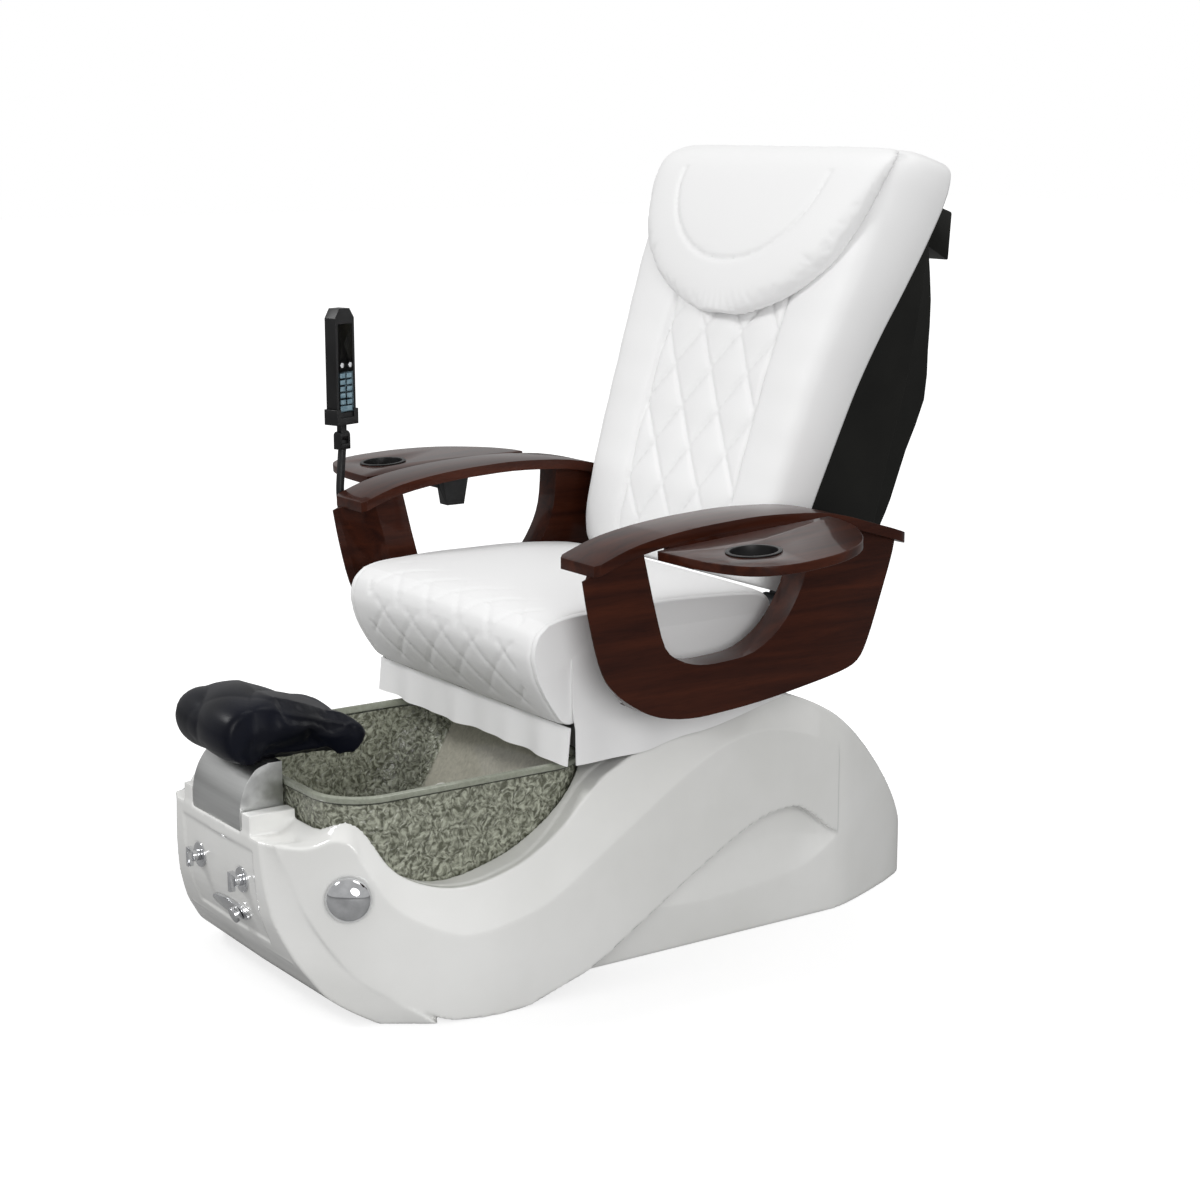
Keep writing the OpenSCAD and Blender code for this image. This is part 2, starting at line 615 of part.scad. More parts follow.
inlet_end = base_rear + 30;
inlet_r = 10.5;
module supply_hoses() color([0.7, 0.71, 0.73]) for (sx = [-1, 1]) union() {
    hose(hose_r, [[sx * inlet_x, base_rear - 30, service_h], [sx * inlet_x, base_rear - 200, service_h],
        [sx * inlet_x, base_rear - 280, spout_hose_h], [sx * inlet_x, spout_hose_y, spout_hose_h],
        [sx * inlet_x, spout_hose_y, tap_h - valve_r]], hose_bend, [1, 0, 0]);
    translate([sx * inlet_x, base_rear - 31, service_h]) rotate([-90, 0, 0])
        cylinder(h = inlet_end - base_rear + 30, r = inlet_r - 1, $fn = 64);
    translate([sx * inlet_x, inlet_end - ferrule_len, service_h]) rotate([-90, 0, 0])
        cylinder(h = ferrule_len, r = inlet_r, $fn = 64);
}

// A hand spray parks in an oval plate below the taps
spray_x = 46;
spray_h = 152;
spray_sleeve_r = 15;
spray_r = 11;
spray_y = fascia_y(spray_h) + fascia_in - 2;
oval_w = 136;
oval_h = 30;
oval_x = 14;
// the spray stands square to the fascia, which leans out above it
spray_tilt = atan((fascia_y(spray_h - 12) - fascia_y(spray_h + 12)) / 24);
module at_spray() {
    translate([0, spray_y, spray_h]) rotate([spray_tilt, 0, 0]) children();
}
module spray_holder() color(chrome) at_spray() difference() {
    union() {
        translate([oval_x, 1, 0]) rotate([90, 0, 0]) linear_extrude(5)
            polygon([for (t = [0:6:354]) [oval_w / 2 * cos(t), oval_h / 2 * sin(t)]]);
        translate([spray_x, 0, 0]) rotate([-90, 0, 0]) cylinder(h = 56, r = spray_sleeve_r - 0.4,
            $fn = 64);
    }
    translate([spray_x, -10, 0]) rotate([-90, 0, 0]) cylinder(h = 80, r = spray_r + run_gap, $fn = 64);
}
module spray_head() color(chrome) at_spray() translate([spray_x, 0, 0]) rotate([90, 0, 0]) union() {
    translate([0, 0, -50]) cylinder(h = 55, r = spray_r, $fn = 64);
    translate([0, 0, 4 + seat_gap]) cylinder(h = 12, r = 14, $fn = 64);
}

box_y = 360;
module control_box() color(black) difference() {
    union() {
                translate([-131, box_y, tube + seat_gap]) cube([40, 120, 90]);
        translate([-121, box_y + 30, tube + 90]) cube([20, 60, 40]);
    }
    translate([-126, box_y + 100, 50]) cube([30, 30, 24]);
}

// ---------- seat carriage ----------
rail_x = post_x;
rail_w = 40;
rail_t = 20;
rail_y0 = 60;
rail_y1 = 500;
runner_y0 = 200;
runner_y1 = 480;
module seat_rails() color(steel) for (sx = [-1, 1]) difference() {
    translate([sx * rail_x - rail_w / 2, rail_y0, rail_h]) cube([rail_w, rail_y1 - rail_y0, rail_t]);
    translate([sx * rail_x - 12, rail_y0 - eps, rail_h + 6]) cube([24, rail_y1 - rail_y0 + 2, 30]);
}

plate_x = seat_w / 2 + 1;
plate_w = 6;
side_plate_z0 = 452;
side_plate_z1 = 556;
frame_z = rail_h + rail_t + 4;
pivot_y = 500;
pivot_z = 600;
ear_x = 260;
bolt_ys = [150, 430];
bolt_zs = [506, 536];
module seat_frame() color(steel) union() {
    // runners in the rails, a ladder of tubes on them and a plate up each side
    for (sx = [-1, 1]) translate([sx * rail_x - 11.8, runner_y0, rail_h + 6.2])
        cube([23.6, runner_y1 - runner_y0, frame_z - rail_h - 5]);
        for (sx = [-1, 1]) translate([sx * rail_x - 20, 30, frame_z]) cube([40, 430, 25]);
    for (y = [40, 225, 400]) translate([-plate_x, y, frame_z + 13])
        cube([2 * plate_x, 40, board_z - frame_z - 12]);
    for (sx = [-1, 1]) translate([sx > 0 ? plate_x - plate_w : -plate_x, 30, side_plate_z0])
        cube([plate_w, 430, side_plate_z1 - side_plate_z0]);
            // plate that carries the seat cushion

    translate([-seat_w / 2 + 20, 40, board_z]) cube([seat_w - 40, 400, board_t]);
    // ears and pins that the back turns on
    for (sx = [-1, 1]) {
        translate([sx > 0 ? ear_x : -ear_x - 8, 400, frame_z + 13]) cube([8, 100, 40]);
        along_x(sx > 0 ? ear_x : -ear_x - 8, sx > 0 ? ear_x + 8 : -ear_x)
            polygon([[440, frame_z + 30], [515, frame_z + 30], [516, pivot_z], [484, pivot_z]]);
        translate([sx > 0 ? ear_x : -ear_x - 8, pivot_y, pivot_z]) rotate([0, 90, 0])
            cylinder(h = 8, r = 16, $fn = 64);
        translate([sx > 0 ? ear_x - 20 : -ear_x - 1, pivot_y, pivot_z]) rotate([0, 90, 0])
            cylinder(h = 21, r = pivot_r, $fn = 64);
    }
}
module seat_actuator() color(black) union() {
    translate([-30, 60, frame_z - 20]) cube([60, 90, 32.5]);
    translate([0, 150 - eps, frame_z - 6]) rotate([-90, 0, 0]) cylinder(h = 270, r = 9, $fn = 48);
}

// Side view of the seat cushion: a flat top with a nose that rolls over in front
seat_under = 566;
seat_base = seat_under - 5 + (seat_h - 656);
board_t = 3;
board_z = seat_base - seat_gap - board_t;
nose = [[-34, 642], [0, 650], [60, 654], [150, 656], [260, 655], [360, 650], [425, 642], [444, 632],
    [450, 612], [446, 584], [436, 566], [300, 566], [150, 566], [34, 566], [24, 560], [22, 470],
    [16, 459], [-4, 468], [-26, 496], [-45, 526], [-58, 556], [-65, 590], [-58, 624]];
seat_rows = 24;
function seat_ring(i) = let (t = 2 * i / seat_rows - 1, x = seat_w / 2 * sin(90 * t),
    full = pow(1 - pow(abs(sin(90 * t)), 5), 0.4), crown = 5 * cos(90 * t))
    [for (q = nose) let (mid = [q[0] < 30 ? -20 : 220, q[1] < 566 ? 540 : 606],
        pull = 0.88 + 0.12 * full,
        p = mid + pull * (q - mid), lift = q[1] > 600 ? crown : 0)
        [x, p[0], max(p[1], min(q[1], 566)) + lift - 5 + (seat_h - 656)]];
module seat_cushion() color(hide) loft([for (i = [0:seat_rows]) [for (p = seat_ring(i)) p]]);

skirt_x = 330;
skirt_top = 606;
skirt_low = [[14, 392], [80, 392], [162, 396], [237, 409], [315, 417], [400, 436], [455, 448]];
module side_skirt(side) {
    rows = 16;
    // gentle hanging folds, nothing at the sewn top edge
    ys = [for (i = [0:rows]) 14 + (455 - 14) * i / rows];
    fold = function (y) 1.2 * sin(y * 3.1);
    rings = [for (y = ys) let (z0 = lookup(y, skirt_low) + skirt_h - 392)
        [[skirt_x - skirt_t + 1 + fold(y) , y, z0], [skirt_x + fold(y) - 1.5, y, z0],
        [skirt_x, y, z0 + 70], [skirt_x, y, 560], [skirt_x - 4, y,
            skirt_top - (y < 60 ? (60 - y) * 0.6 : 0)],
        [skirt_x - skirt_t, y, skirt_top - (y < 60 ? (60 - y) * 0.6 : 0)],
            [skirt_x - skirt_t, y, z0 + 70]]];
    if (side > 0) loft(rings);
    else loft([for (r = rings) [for (k = [len(r) - 1:-1:0]) [-r[k][0], r[k][1], r[k][2]]]]);
}
module bolt_holes(r) for (sx = [-1, 1]) for (y = bolt_ys) for (z = bolt_zs)
    translate([sx > 0 ? plate_x : -panel_in - 30, y, z]) rotate([0, 90, 0])
        cylinder(h = panel_in + 30 - plate_x, r = r, $fn = 48);
module side_skirt_left() color(hide) difference() {
    side_skirt(1);
    bolt_holes(12.5);
}
module side_skirt_right() color(hide) difference() {
    side_skirt(-1);
    bolt_holes(12.5);
}
front_rows = 30;
front_skirt_top = 454 + (seat_h - 656) + seat_gap;

module front_skirt() color(hide) {
    half = skirt_x - skirt_t - 1;
    wave = function (x) 1.6 * sin(x * 2.3) + 1.1 * sin(x * 4.1 + 40);
    // seen from the -X end: front low, front top, back top, back low
    loft([for (i = [0:front_rows]) let (x = -half + 2 * half * i / front_rows, w = wave(x))
        [[x, 10, skirt_h + w / 2], [x, 2 + w, skirt_h + w / 2], [x, -1 + w / 2, skirt_h + 30],
            [x, 3, front_skirt_top],
        [x, 14, front_skirt_top], [x, 9 + w / 2, skirt_h + 30]]]);
}

// ---------- arms ----------
cap_top = [[-23, 753], [20, 769], [62, 781], [120, 791], [183, 798], [246, 802], [309, 804],
    [375, 802], [440, 797], [500, 786], [554, 770], [605, 755], [655, 738]];
arm_lift = arm_h - 804;
function cap_line(drop) = [for (q = curve(cap_top, 2)) [q[0], q[1] - drop + arm_lift]];
apron_h = 11;
apron_w = 14;
module arm_cap(side) {
    line = cap_line(0);
    under = cap_line(cap_t);
    x0 = side > 0 ? arm_in : -arm_in - arm_w;
    // apron along the outer edge, over the opening of the panel
    apron = [for (q = under) if (q[0] > 96 && q[0] < 404) q];
    apron_x = side > 0 ? arm_in + arm_w - apron_w - 1 : -arm_in - arm_w + 1;
    along_x(apron_x, apron_x + apron_w) polygon(concat([for (q = apron) q - [0, apron_h]],
        [for (i = [len(apron) - 1:-1:0]) apron[i] + [0, cap_t / 2]]));
    intersection() {
        along_x(x0, x0 + arm_w) polygon(concat([for (q = under) q],
            [for (i = [len(line) - 1:-1:0]) line[i]]));
        // corners cut at the front, round at the rear
        translate([side > 0 ? arm_in : -arm_in - arm_w, 0, arm_h - 200]) linear_extrude(260)
            polygon(concat([[0, -15], [8, -23], [arm_w - 8, -23], [arm_w, -15]],
            [for (t = [0:15:90]) [arm_w - 34 + 34 * cos(t), 621 + 34 * sin(t)]],
            [for (t = [90:15:180]) [34 + 34 * cos(t), 621 + 34 * sin(t)]]));
    }
}
module arm_cap_left() color(wood) union() arm_cap(1);
module arm_cap_right() color(wood) union() arm_cap(-1);

panel_in = arm_in + arm_w - 18 - panel_t;
panel_out = [[-39, 735], [-26, 665], [-6, 587], [18, 542], [64, 505], [115, 480], [178, 469],
    [241, 470], [328, 477], [416, 489], [507, 505], [548, 521], [570, 555], [596, 624], [624, 707],
        [630, 745]];
panel_hole = [[80, 770], [92, 720], [106, 665], [127, 598], [158, 572], [200, 559], [250, 558],
    [314, 566], [370, 600], [408, 650], [428, 700], [434, 760], [434, 790]];
module arm_panel(side) {
    x0 = side > 0 ? panel_in : -panel_in - panel_t;
    roof = cap_line(cap_t + 0.1);
    difference() {
        along_x(x0, x0 + panel_t) difference() {
            intersection() {
                polygon(concat([for (q = curve(panel_out, 3)) q], [[640, 850], [-60, 850]]));
                polygon(concat([[660, 400], [660, 736 + arm_lift - cap_t]],
                    [for (i = [len(roof) - 1:-1:0]) roof[i]],
                        [[-60, 738 + arm_lift - cap_t], [-60, 400]]));
            }
            polygon(concat(curve(panel_hole, 3), [[434, 850], [80, 850]]));
        }
        for (y = bolt_ys) for (z = bolt_zs) translate([side > 0 ? panel_in - eps : -panel_in - 31, y,
            z])
            rotate([0, 90, 0]) cylinder(h = 32, r = 5.2, $fn = 48);
        // the front leg is cut back on its inner side
        translate([0, -62, 760]) rotate([16, 0, 0]) translate([0, 0, -290]) linear_extrude(400)
            polygon([[side * (panel_in - 5), -60], [side * (panel_in + panel_t - 4), -60],
            [side * (panel_in + panel_t - 4), 22], [side * panel_in, 76], [side * (panel_in - 5), 76]]);
    }
}
module arm_panel_left() color(wood) arm_panel(1);
module arm_panel_right() color(wood) arm_panel(-1);
module arm_bolts() color(steel) for (sx = [-1, 1]) for (y = bolt_ys) for (z = bolt_zs) union() {
    translate([sx > 0 ? plate_x + 0.1 : -panel_in + 0.1, y, z]) rotate([0, 90, 0])
        cylinder(h = panel_in - plate_x - 0.2, r = 12, $fn = 48);
    translate([sx > 0 ? panel_in - eps : -panel_in - 28, y, z]) rotate([0, 90, 0])
        cylinder(h = 28 + eps, r = 5, $fn = 48);
}

// ---------- trays ----------
tray_y = 250;
tray_slope = 3.5;
hinge_y = 210;
hinge_x = arm_in + arm_w + 29;
hinge_drop = 24;
tray_top = 787 + arm_lift;
hinge_z = tray_top - hinge_drop;
pin_r = 3;
barrel_r = 6;
leaf_t = 3;
tray_edge = 8;
knuckle = 18;
cup_x = 128;
cup_y = -77;
module at_tray(side) {
    // local origin on the hinge line, X outwards, Y along the arm
    translate([side * hinge_x, tray_y, hinge_z]) rotate([tray_slope, 0, 0])
        scale([side, 1, 1]) children();
}
// outer edge in parts of the reach and of half the length: full in front, drawn in at the rear
tray_edge_line = [[0, -1], [0.2, -0.995], [0.5, -0.965], [0.78, -0.87], [0.93, -0.7], [1, -0.43],
    [0.995, -0.1], [0.955, 0.14], [0.85, 0.42], [0.68, 0.65], [0.4, 0.88], [0.15, 0.985], [0, 1]];
module tray(side) at_tray(side) difference() {
    translate([tray_edge, 0, hinge_drop - tray_t]) linear_extrude(tray_t)
        polygon([for (q = curve(tray_edge_line, 3)) [(tray_reach - tray_edge) * q[0],
            tray_len / 2 * q[1]]]);
    translate([cup_x, cup_y, -10]) cylinder(h = 60, r = cup_r, $fn = 96);
}
module tray_left() color(wood) tray(1);
module tray_right() color(wood) tray(-1);
ring_t = 3;
module cup_ring(side) at_tray(side) translate([cup_x, cup_y, 0]) difference() {
    union() {
        translate([0, 0, hinge_drop - tray_t]) cylinder(h = tray_t + 1, r = cup_r - 0.1, $fn = 96);
        translate([0, 0, hinge_drop + 0.1]) cylinder(h = 2, r = cup_r + 4, $fn = 96);
    }
    translate([0, 0, -10]) cylinder(h = 60, r = cup_r - ring_t, $fn = 96);
}
module cup_ring_left() color([0.45, 0.45, 0.45]) cup_ring(1);
module cup_ring_right() color([0.45, 0.45, 0.45]) cup_ring(-1);
hinge_off = hinge_y - tray_y;
module tray_hinge(side) at_tray(side) difference() {
    union() {
        translate([0, hinge_off - knuckle, 0]) rotate([-90, 0, 0])
            cylinder(h = 2 * knuckle, r = barrel_r, $fn = 48);
        translate([0, hinge_off - knuckle, hinge_drop - tray_t - leaf_t])
            cube([60, 2 * knuckle, leaf_t - 0.1]);
    }
    translate([0, hinge_off - knuckle - eps, 0]) rotate([-90, 0, 0])
        cylinder(h = 2 * knuckle + 2, r = pin_r + run_gap, $fn = 48);
}
module tray_hinge_left() color(steel) tray_hinge(1);
module tray_hinge_right() color(steel) tray_hinge(-1);
wedge_w = 28;
wedge_x = hinge_x - 88;
module tray_bracket(side) {
    // a wedge under the cap, with two ears that hold the hinge pin
    roof = cap_line(cap_t + 0.3);
    union() {
        intersection() {
            along_x(side > 0 ? wedge_x : -wedge_x - wedge_w, side > 0 ? wedge_x + wedge_w : -wedge_x)
                polygon([[hinge_y - 18, hinge_z - 42], [hinge_y + 20, hinge_z - 42],
                    [hinge_y + 40, hinge_z + 60], [hinge_y - 36, hinge_z + 60]]);
            along_x(-hinge_x, hinge_x) polygon(concat([[0, 650], [655, 650]],
                [for (i = [len(roof) - 1:-1:0]) roof[i]]));
        }
        at_tray(side) for (y = [-knuckle - 8.3, knuckle + 0.3]) {
            translate([0, hinge_off + y, 0]) rotate([-90, 0, 0])
                cylinder(h = 8, r = barrel_r, $fn = 48);
            translate([-66, hinge_off + y, -barrel_r]) cube([66, 8, 2 * barrel_r]);
        }
        at_tray(side) translate([0, hinge_off - knuckle - 8, 0]) rotate([-90, 0, 0])
            cylinder(h = 2 * knuckle + 16, r = pin_r, $fn = 48);
    }
}
module tray_bracket_left() color(black) tray_bracket(1);
module tray_bracket_right() color(black) tray_bracket(-1);

// ---------- footrest ----------
foot_y = base_front + 9;
cheek_y = block_y - 6;
foot_top = trough_h + 108;
key_w = 36;
key_len = 24;
bend = [[foot_y, trough_h + seat_gap], [foot_y, trough_h + 30], [foot_y + 4, trough_h + 54],
    [foot_y + 14, trough_h + 78], [foot_y + 32, foot_top - 8], [foot_y + 56, foot_top]];
module footrest_bracket() color(steel) union() {
    line = curve(bend, 4);
    back = [for (q = line) q + [bracket_t, 0]];
    // bent front plate, top plate and two cheeks
    along_x(-bracket_w / 2, bracket_w / 2)
        polygon(concat(back, [for (i = [len(line) - 1:-1:0]) line[i]]));
    translate([-bracket_w / 2, foot_y + 54, foot_top - bracket_t])
        cube([bracket_w, cheek_y - foot_y - 54, bracket_t]);
    for (sx = [-1, 1]) along_x(sx > 0 ? bracket_w / 2 - bracket_t : -bracket_w / 2, sx > 0
        ? bracket_w / 2 : -bracket_w / 2 + bracket_t)
        polygon(concat([for (i = [len(line) - 1:-1:0]) line[i]],
            [[cheek_y, trough_h + seat_gap], [cheek_y, foot_top]]));
    // foot plate with the key that slides in the slot of the base
    translate([-bracket_w / 2, cheek_y - key_len - 30, trough_h + seat_gap])
        cube([bracket_w, key_len + 30, bracket_t]);
    translate([-key_w / 2, slot_y1 - key_len - 1, trough_h - 14]) cube([key_w, key_len, 16]);
    translate([-key_w / 2 - 10, slot_y1 - key_len - 1, trough_h - 14]) cube([key_w + 20, key_len, 5]);
}
// Side view of the footrest pad: a front roll and a wedge that thins to the rear
pad_side = [[-262, 420], [-300, 414], [-360, 414.4], [-420, 414.4], [-480, 414.4], [-508, 421],
    [-524, 440],
    [-529, 468], [-520, 496], [-497, 514], [-466, 521], [-436, 519], [-405, 507], [-367, 494],
        [-300, 470],
    [-268, 458], [-254, 440]];
pad_rows = 16;
pad_rise = foot_top - 414;
module footrest_pad() color([0.07, 0.08, 0.14]) loft([for (i = [0:pad_rows])
    let (t = 2 * i / pad_rows - 1, x = pad_w / 2 * sin(90 * t), full =
        pow(1 - pow(abs(sin(90 * t)), 4), 0.45),
        k = 0.78 + 0.22 * full)
    [for (q = pad_side) let (mid = [q[0] < -430 ? -470 : min(q[0], -285),
        468 - (max(q[0], -430) + 430) * 0.16])
        [x, mid[0] + k * (q[0] - mid[0]), max(mid[1] + k * (q[1] - mid[1]), q[1] < 430 ? 414.4
            : 0) + pad_rise]]]);

// ---------- back ----------
module at_back() { translate([0, pivot_y, pivot_z]) rotate([-lean, 0, 0]) children(); }
// Along the back: [height, half width, front face, rear edge of the cushion]
back_table = [[30, 270, -70, -22], [60, 284, -80, -20], [100, 288, -87, -18], [175, 292, -93, -14],
    [270, 299, -95, -9], [400, 308, -94, 0], [500, 322, -90, 10], [590, 338, -85, 24],
    [680, shoulder_w, -79, 42], [760, shoulder_w, -70, 58], [800, shoulder_w - 2, -58, 62],
    [825, shoulder_w - 8, -36, 62], [836, shoulder_w - 22, -18, 60], [842, shoulder_w - 42, -6, 58]];
function back_at(h, k) = lookup(h * 842 / back_len, [for (q = back_table) [q[0], q[k]]]);
// Sewn diamonds in the middle of the back: half width and half height of a diamond
quilt_a = 55;
quilt_b = 75.5;
quilt_h0 = 89.5;
quilt_depth = 7;
// heights of the sewn rows, with the rolled ends below and above them
back_hs = concat([30, 36, 48, 66], [for (k = [0:6]) quilt_h0 + k * quilt_b],
    [600, 650, 700, 745, 780, 808, 825, 836, 842]);
function back_x(j, w) = let (k = j - 8) abs(k) <= 3 ? k * quilt_a : sign(k) * (abs(k) == 4 ?
    3 * quilt_a + 16 : w * lookup(abs(k), [[5, 0.8], [6, 0.93], [7, 0.985], [8, 1]]));
function sewn(i, j) = let (k = abs(j - 8), row = i - 4)
    row < 0 || row > 6 || k > 3 ? 0 : (k == 3 ? 1 : ((row + j) % 2 == 0 ? 1 : 0));
function back_face(x, w, nf, nr) = let (s = min(1, abs(x / w))) nr - 6 - (nr - 6 - nf)
    * pow(1 - pow(s, 18), 0.36);
module back_cushion() color(hide) at_back() difference() {
    loft([for (i = [0:len(back_hs) - 1]) let (h = back_hs[i] * back_len / 842,
        w = back_at(h, 1), nf = back_at(h, 2), nr = back_at(h, 3))
        concat([for (j = [0:16]) let (x = -back_x(j, w))
            [x, back_face(x, w, nf, nr) + quilt_depth * sewn(i, j), h]],
                [[-w + 4, nr, h], [w - 4, nr, h]])], woven = true);
    // hollow behind the padding for the massage rollers
    translate([-262, -6, 15]) cube([524, 200, back_len - 75]);
}
pillow_h0 = 488;
pillow_rows = 18;
pillow_cols = 20;
// The pillow hangs over the top of the back and ends below in a wide curve
pillow_plan = [[488, 38], [500, 95], [515, 140], [537, 190], [570, 240], [610, 282], [650, 305],
    [700, 325], [750, 337], [790, 340], [815, 330], [832, 305], [842, 290]];
function pillow_half(h) = lookup(h, pillow_plan) * shoulder_w / 345;
function pillow_thick(h) = let (t = (h - pillow_h0) / (back_len - 8 - pillow_h0)) 8 + 36
    * pow(sin(180 * min(1, max(0, 0.06 + 0.86 * t))), 0.5);
module pillow() color(hide) at_back() loft([for (i = [0:pillow_rows])
    let (t = i / pillow_rows, h = pillow_h0 + (back_len - 10 - pillow_h0) * (1 - cos(180 * t)) / 2,
        w = pillow_half(h), face = back_at(h, 2) - 1.5, d = pillow_thick(h))
    concat([[-w * 0.96, face, h], [w * 0.96, face, h]],
    [for (j = [0:pillow_cols]) let (x = w * cos(180 * j / pillow_cols), s = abs(x / w))
        [x, face - 3 - (d - 3) * pow(1 - pow(s, 3), 0.45), h]])]);

// Rear of the shell: the side walls end at a crease, and a bulge stands behind it
crease = [[150, 60], [153, 120], [152, 192], [143, 324], [137, 474], [118, 620], [100, 720], [90, 772]];
bulge = [[152, 66], [184, 110], [198, 191], [206, 241], [211, 338], [222, 438], [199, 527],
    [173, 616], [135, 700], [108, 758]];
shell_half = 282;
bulge_half = 250;
shell_h0 = 48;
shell_h1 = 772;
module at_side(x0, x1) { translate([x0, 0, 0]) rotate([90, 0, 90]) linear_extrude(x1 - x0) children(); }
function shell_front(h) = back_at(h * back_len / 842, 3) + 0.9;
module shell_body(t) {
    // t is the wall taken off every side but the open front
    front = [for (h = [shell_h1 - t:-36:shell_h0 + t]) [shell_front(h) - (t > 0 ? 40 : 0), h]];
    at_side(-shell_half + t, shell_half - t)
        polygon(concat([[shell_front(shell_h0 + t) - (t > 0 ? 40 : 0), shell_h0 + t]],
            [[140 - t, shell_h0 + t]],
            [for (q = curve(crease, 2)) [q[0] - t, min(max(q[1], shell_h0 + t + 1), shell_h1 - t)]],
                front));
    at_side(-bulge_half + t, bulge_half - t)
        polygon(concat([[60, 70 + t], [145 - t, 70 + t]],
            [for (q = curve(bulge, 2)) [q[0] - t, max(q[1], 70 + t)]], [[60, 750 - t]]));
}
module back_shell() color(black) at_back() difference() {
        shell_body(0);
    shell_body(back_wall);
    // notches in the bottom edge where the uprights come in
    for (sx = [-1, 1]) translate([sx > 0 ? upright_x - seat_gap : -upright_x - upright_w - seat_gap,
        -60, shell_h0 - 10])
            cube([upright_w + 2 * seat_gap, 90 + seat_gap, 30]);

}

upright_x = 222;
upright_w = 25;
rod_r = 8;
rod_x = 120;
rod_n = 62;
bar_h0 = 70;
bar_h1 = 700;
module back_frame() color(steel) at_back() union() {
    for (sx = [-1, 1]) {
        difference() {
            union() {
                translate([sx > 0 ? upright_x : -upright_x - upright_w, 4, -14])
                    cube([upright_w, 26, bar_h1 + 39]);
                translate([sx > 0 ? upright_x : -ear_x + 1, 0, 0]) rotate([0, 90, 0])
                    cylinder(h = ear_x - 1 - upright_x, r = 16, $fn = 64);
            }
            translate([sx > 0 ? upright_x - eps : -ear_x, 0, 0]) rotate([0, 90, 0])
                cylinder(h = ear_x - upright_x + eps, r = pivot_r + run_gap, $fn = 64);
        }
        translate([sx * rod_x, rod_n, bar_h0]) cylinder(h = bar_h1 - bar_h0 + 10, r = rod_r, $fn = 48);
    }
    for (h = [bar_h0, bar_h1]) translate([-upright_x - 1, 6, h])
        cube([2 * upright_x + 2, rod_n + 10 - 6, 25]);
}
carriage_h0 = 180;
carriage_l = 120;
axle_r = 6;
axle_n = 36;
module massage_carriage() color([0.3, 0.3, 0.32]) at_back() difference() {
    union() {
        translate([-156, 74, carriage_h0]) cube([312, 12, carriage_l]);
        for (sx = [-1, 1]) {
            translate([sx * rod_x, rod_n, carriage_h0]) cylinder(h = carriage_l, r = 14, $fn = 64);
            translate([sx > 0 ? 147 : -156, 24, carriage_h0 + 40]) cube([9, 56, 40]);
        }
    }
    for (sx = [-1, 1]) translate([sx * rod_x, rod_n, carriage_h0 - eps])
        cylinder(h = carriage_l + 2, r = rod_r + run_gap, $fn = 48);
    translate([-160, axle_n, carriage_h0 + 60]) rotate([0, 90, 0])
        cylinder(h = 320, r = axle_r + run_gap, $fn = 48);
}
module massage_rollers() color([0.2, 0.2, 0.22]) at_back() translate([0, axle_n, carriage_h0 + 60])
    rotate([0, 90, 0]) union() {
    translate([0, 0, -155]) cylinder(h = 310, r = axle_r, $fn = 48);
    for (x = [-70, 40]) translate([0, 0, x]) cylinder(h = 30, r = 28, $fn = 64);
}
module rail_cover() color([0.2, 0.2, 0.16]) at_back() at_side(-bulge_half, bulge_half)
    polygon([[132.4, 706.5], [190, 696], [168, 782], [120, 782], [101, 775.5], [104.5, 764],
        [108.5, 759]]);

// ---------- remote ----------
knuckle_p = [-471, 12, 862];
face_turn = 18;
stalk_r = 8;
stalk_x = panel_in + panel_t + stalk_r + 0.2;
stalk = [[-stalk_x, 46, 612], [-stalk_x, 20, 650], [-stalk_x - 26, 2, 700], [-stalk_x - 27, -2, 760],
    [-stalk_x - 31, 4, 805], [-471, 12, 838]];
module at_remote() { translate(knuckle_p) rotate([0, 0, face_turn]) children(); }
module remote_stalk() color(black) union() {
    hose(stalk_r, stalk, 12, [1, 0, 0]);
    at_remote() difference() {
        translate([-9, -14, -26]) cube([18, 28, 20]);
        translate([-10, -8.3, -15]) cube([20, 16.6, 20]);
    }
    at_remote() for (y = [-14, 8.3]) {
        translate([0, y, 0]) rotate([-90, 0, 0]) cylinder(h = 5.7, r = 9, $fn = 48);
        translate([-9, y, -10]) cube([18, 5.7, 10]);
    }
    at_remote() translate([0, -12, 0]) rotate([-90, 0, 0]) cylinder(h = 24, r = pin_r, $fn = 48);
}
cradle_h = 22;
cradle_wall = 3;
grip = 0.3;
handset_h0 = cradle_h + 4 + seat_gap;
handset_x0 = -handset_t / 2;
module remote_cradle() color(black) at_remote() difference() {
    union() {
        translate([0, -8, 0]) rotate([-90, 0, 0]) cylinder(h = 16, r = 9, $fn = 48);
        translate([-6, -8, 0]) cube([12, 16, cradle_h + 1]);
        translate([handset_x0 - cradle_wall - grip, -handset_w / 2 - cradle_wall - grip, cradle_h])
            cube([handset_t + 2 * (cradle_wall + grip), handset_w + 2 * (cradle_wall + grip), 30]);
        translate([handset_x0 - cradle_wall - grip, -handset_w / 2 + 6, cradle_h])
            cube([cradle_wall, handset_w - 12, 90]);
    }
    translate([handset_x0 - grip, -handset_w / 2 - grip, cradle_h + 4])
        cube([handset_t + 2 * grip, handset_w + 2 * grip, 200]);
    translate([0, -20, 0]) rotate([-90, 0, 0]) cylinder(h = 40, r = pin_r + run_gap, $fn = 48);
    // the keys stay in reach through a cut in the front lip
    translate([handset_x0 + handset_t, -handset_w / 2 + 8, cradle_h + 14])
        cube([20, handset_w - 16, 40]);
}
face_x = handset_x0 + handset_t;
screen_h0 = 150;
keys_h0 = 46;
button_h = 136;
button_r = 5;
button_travel = 1;
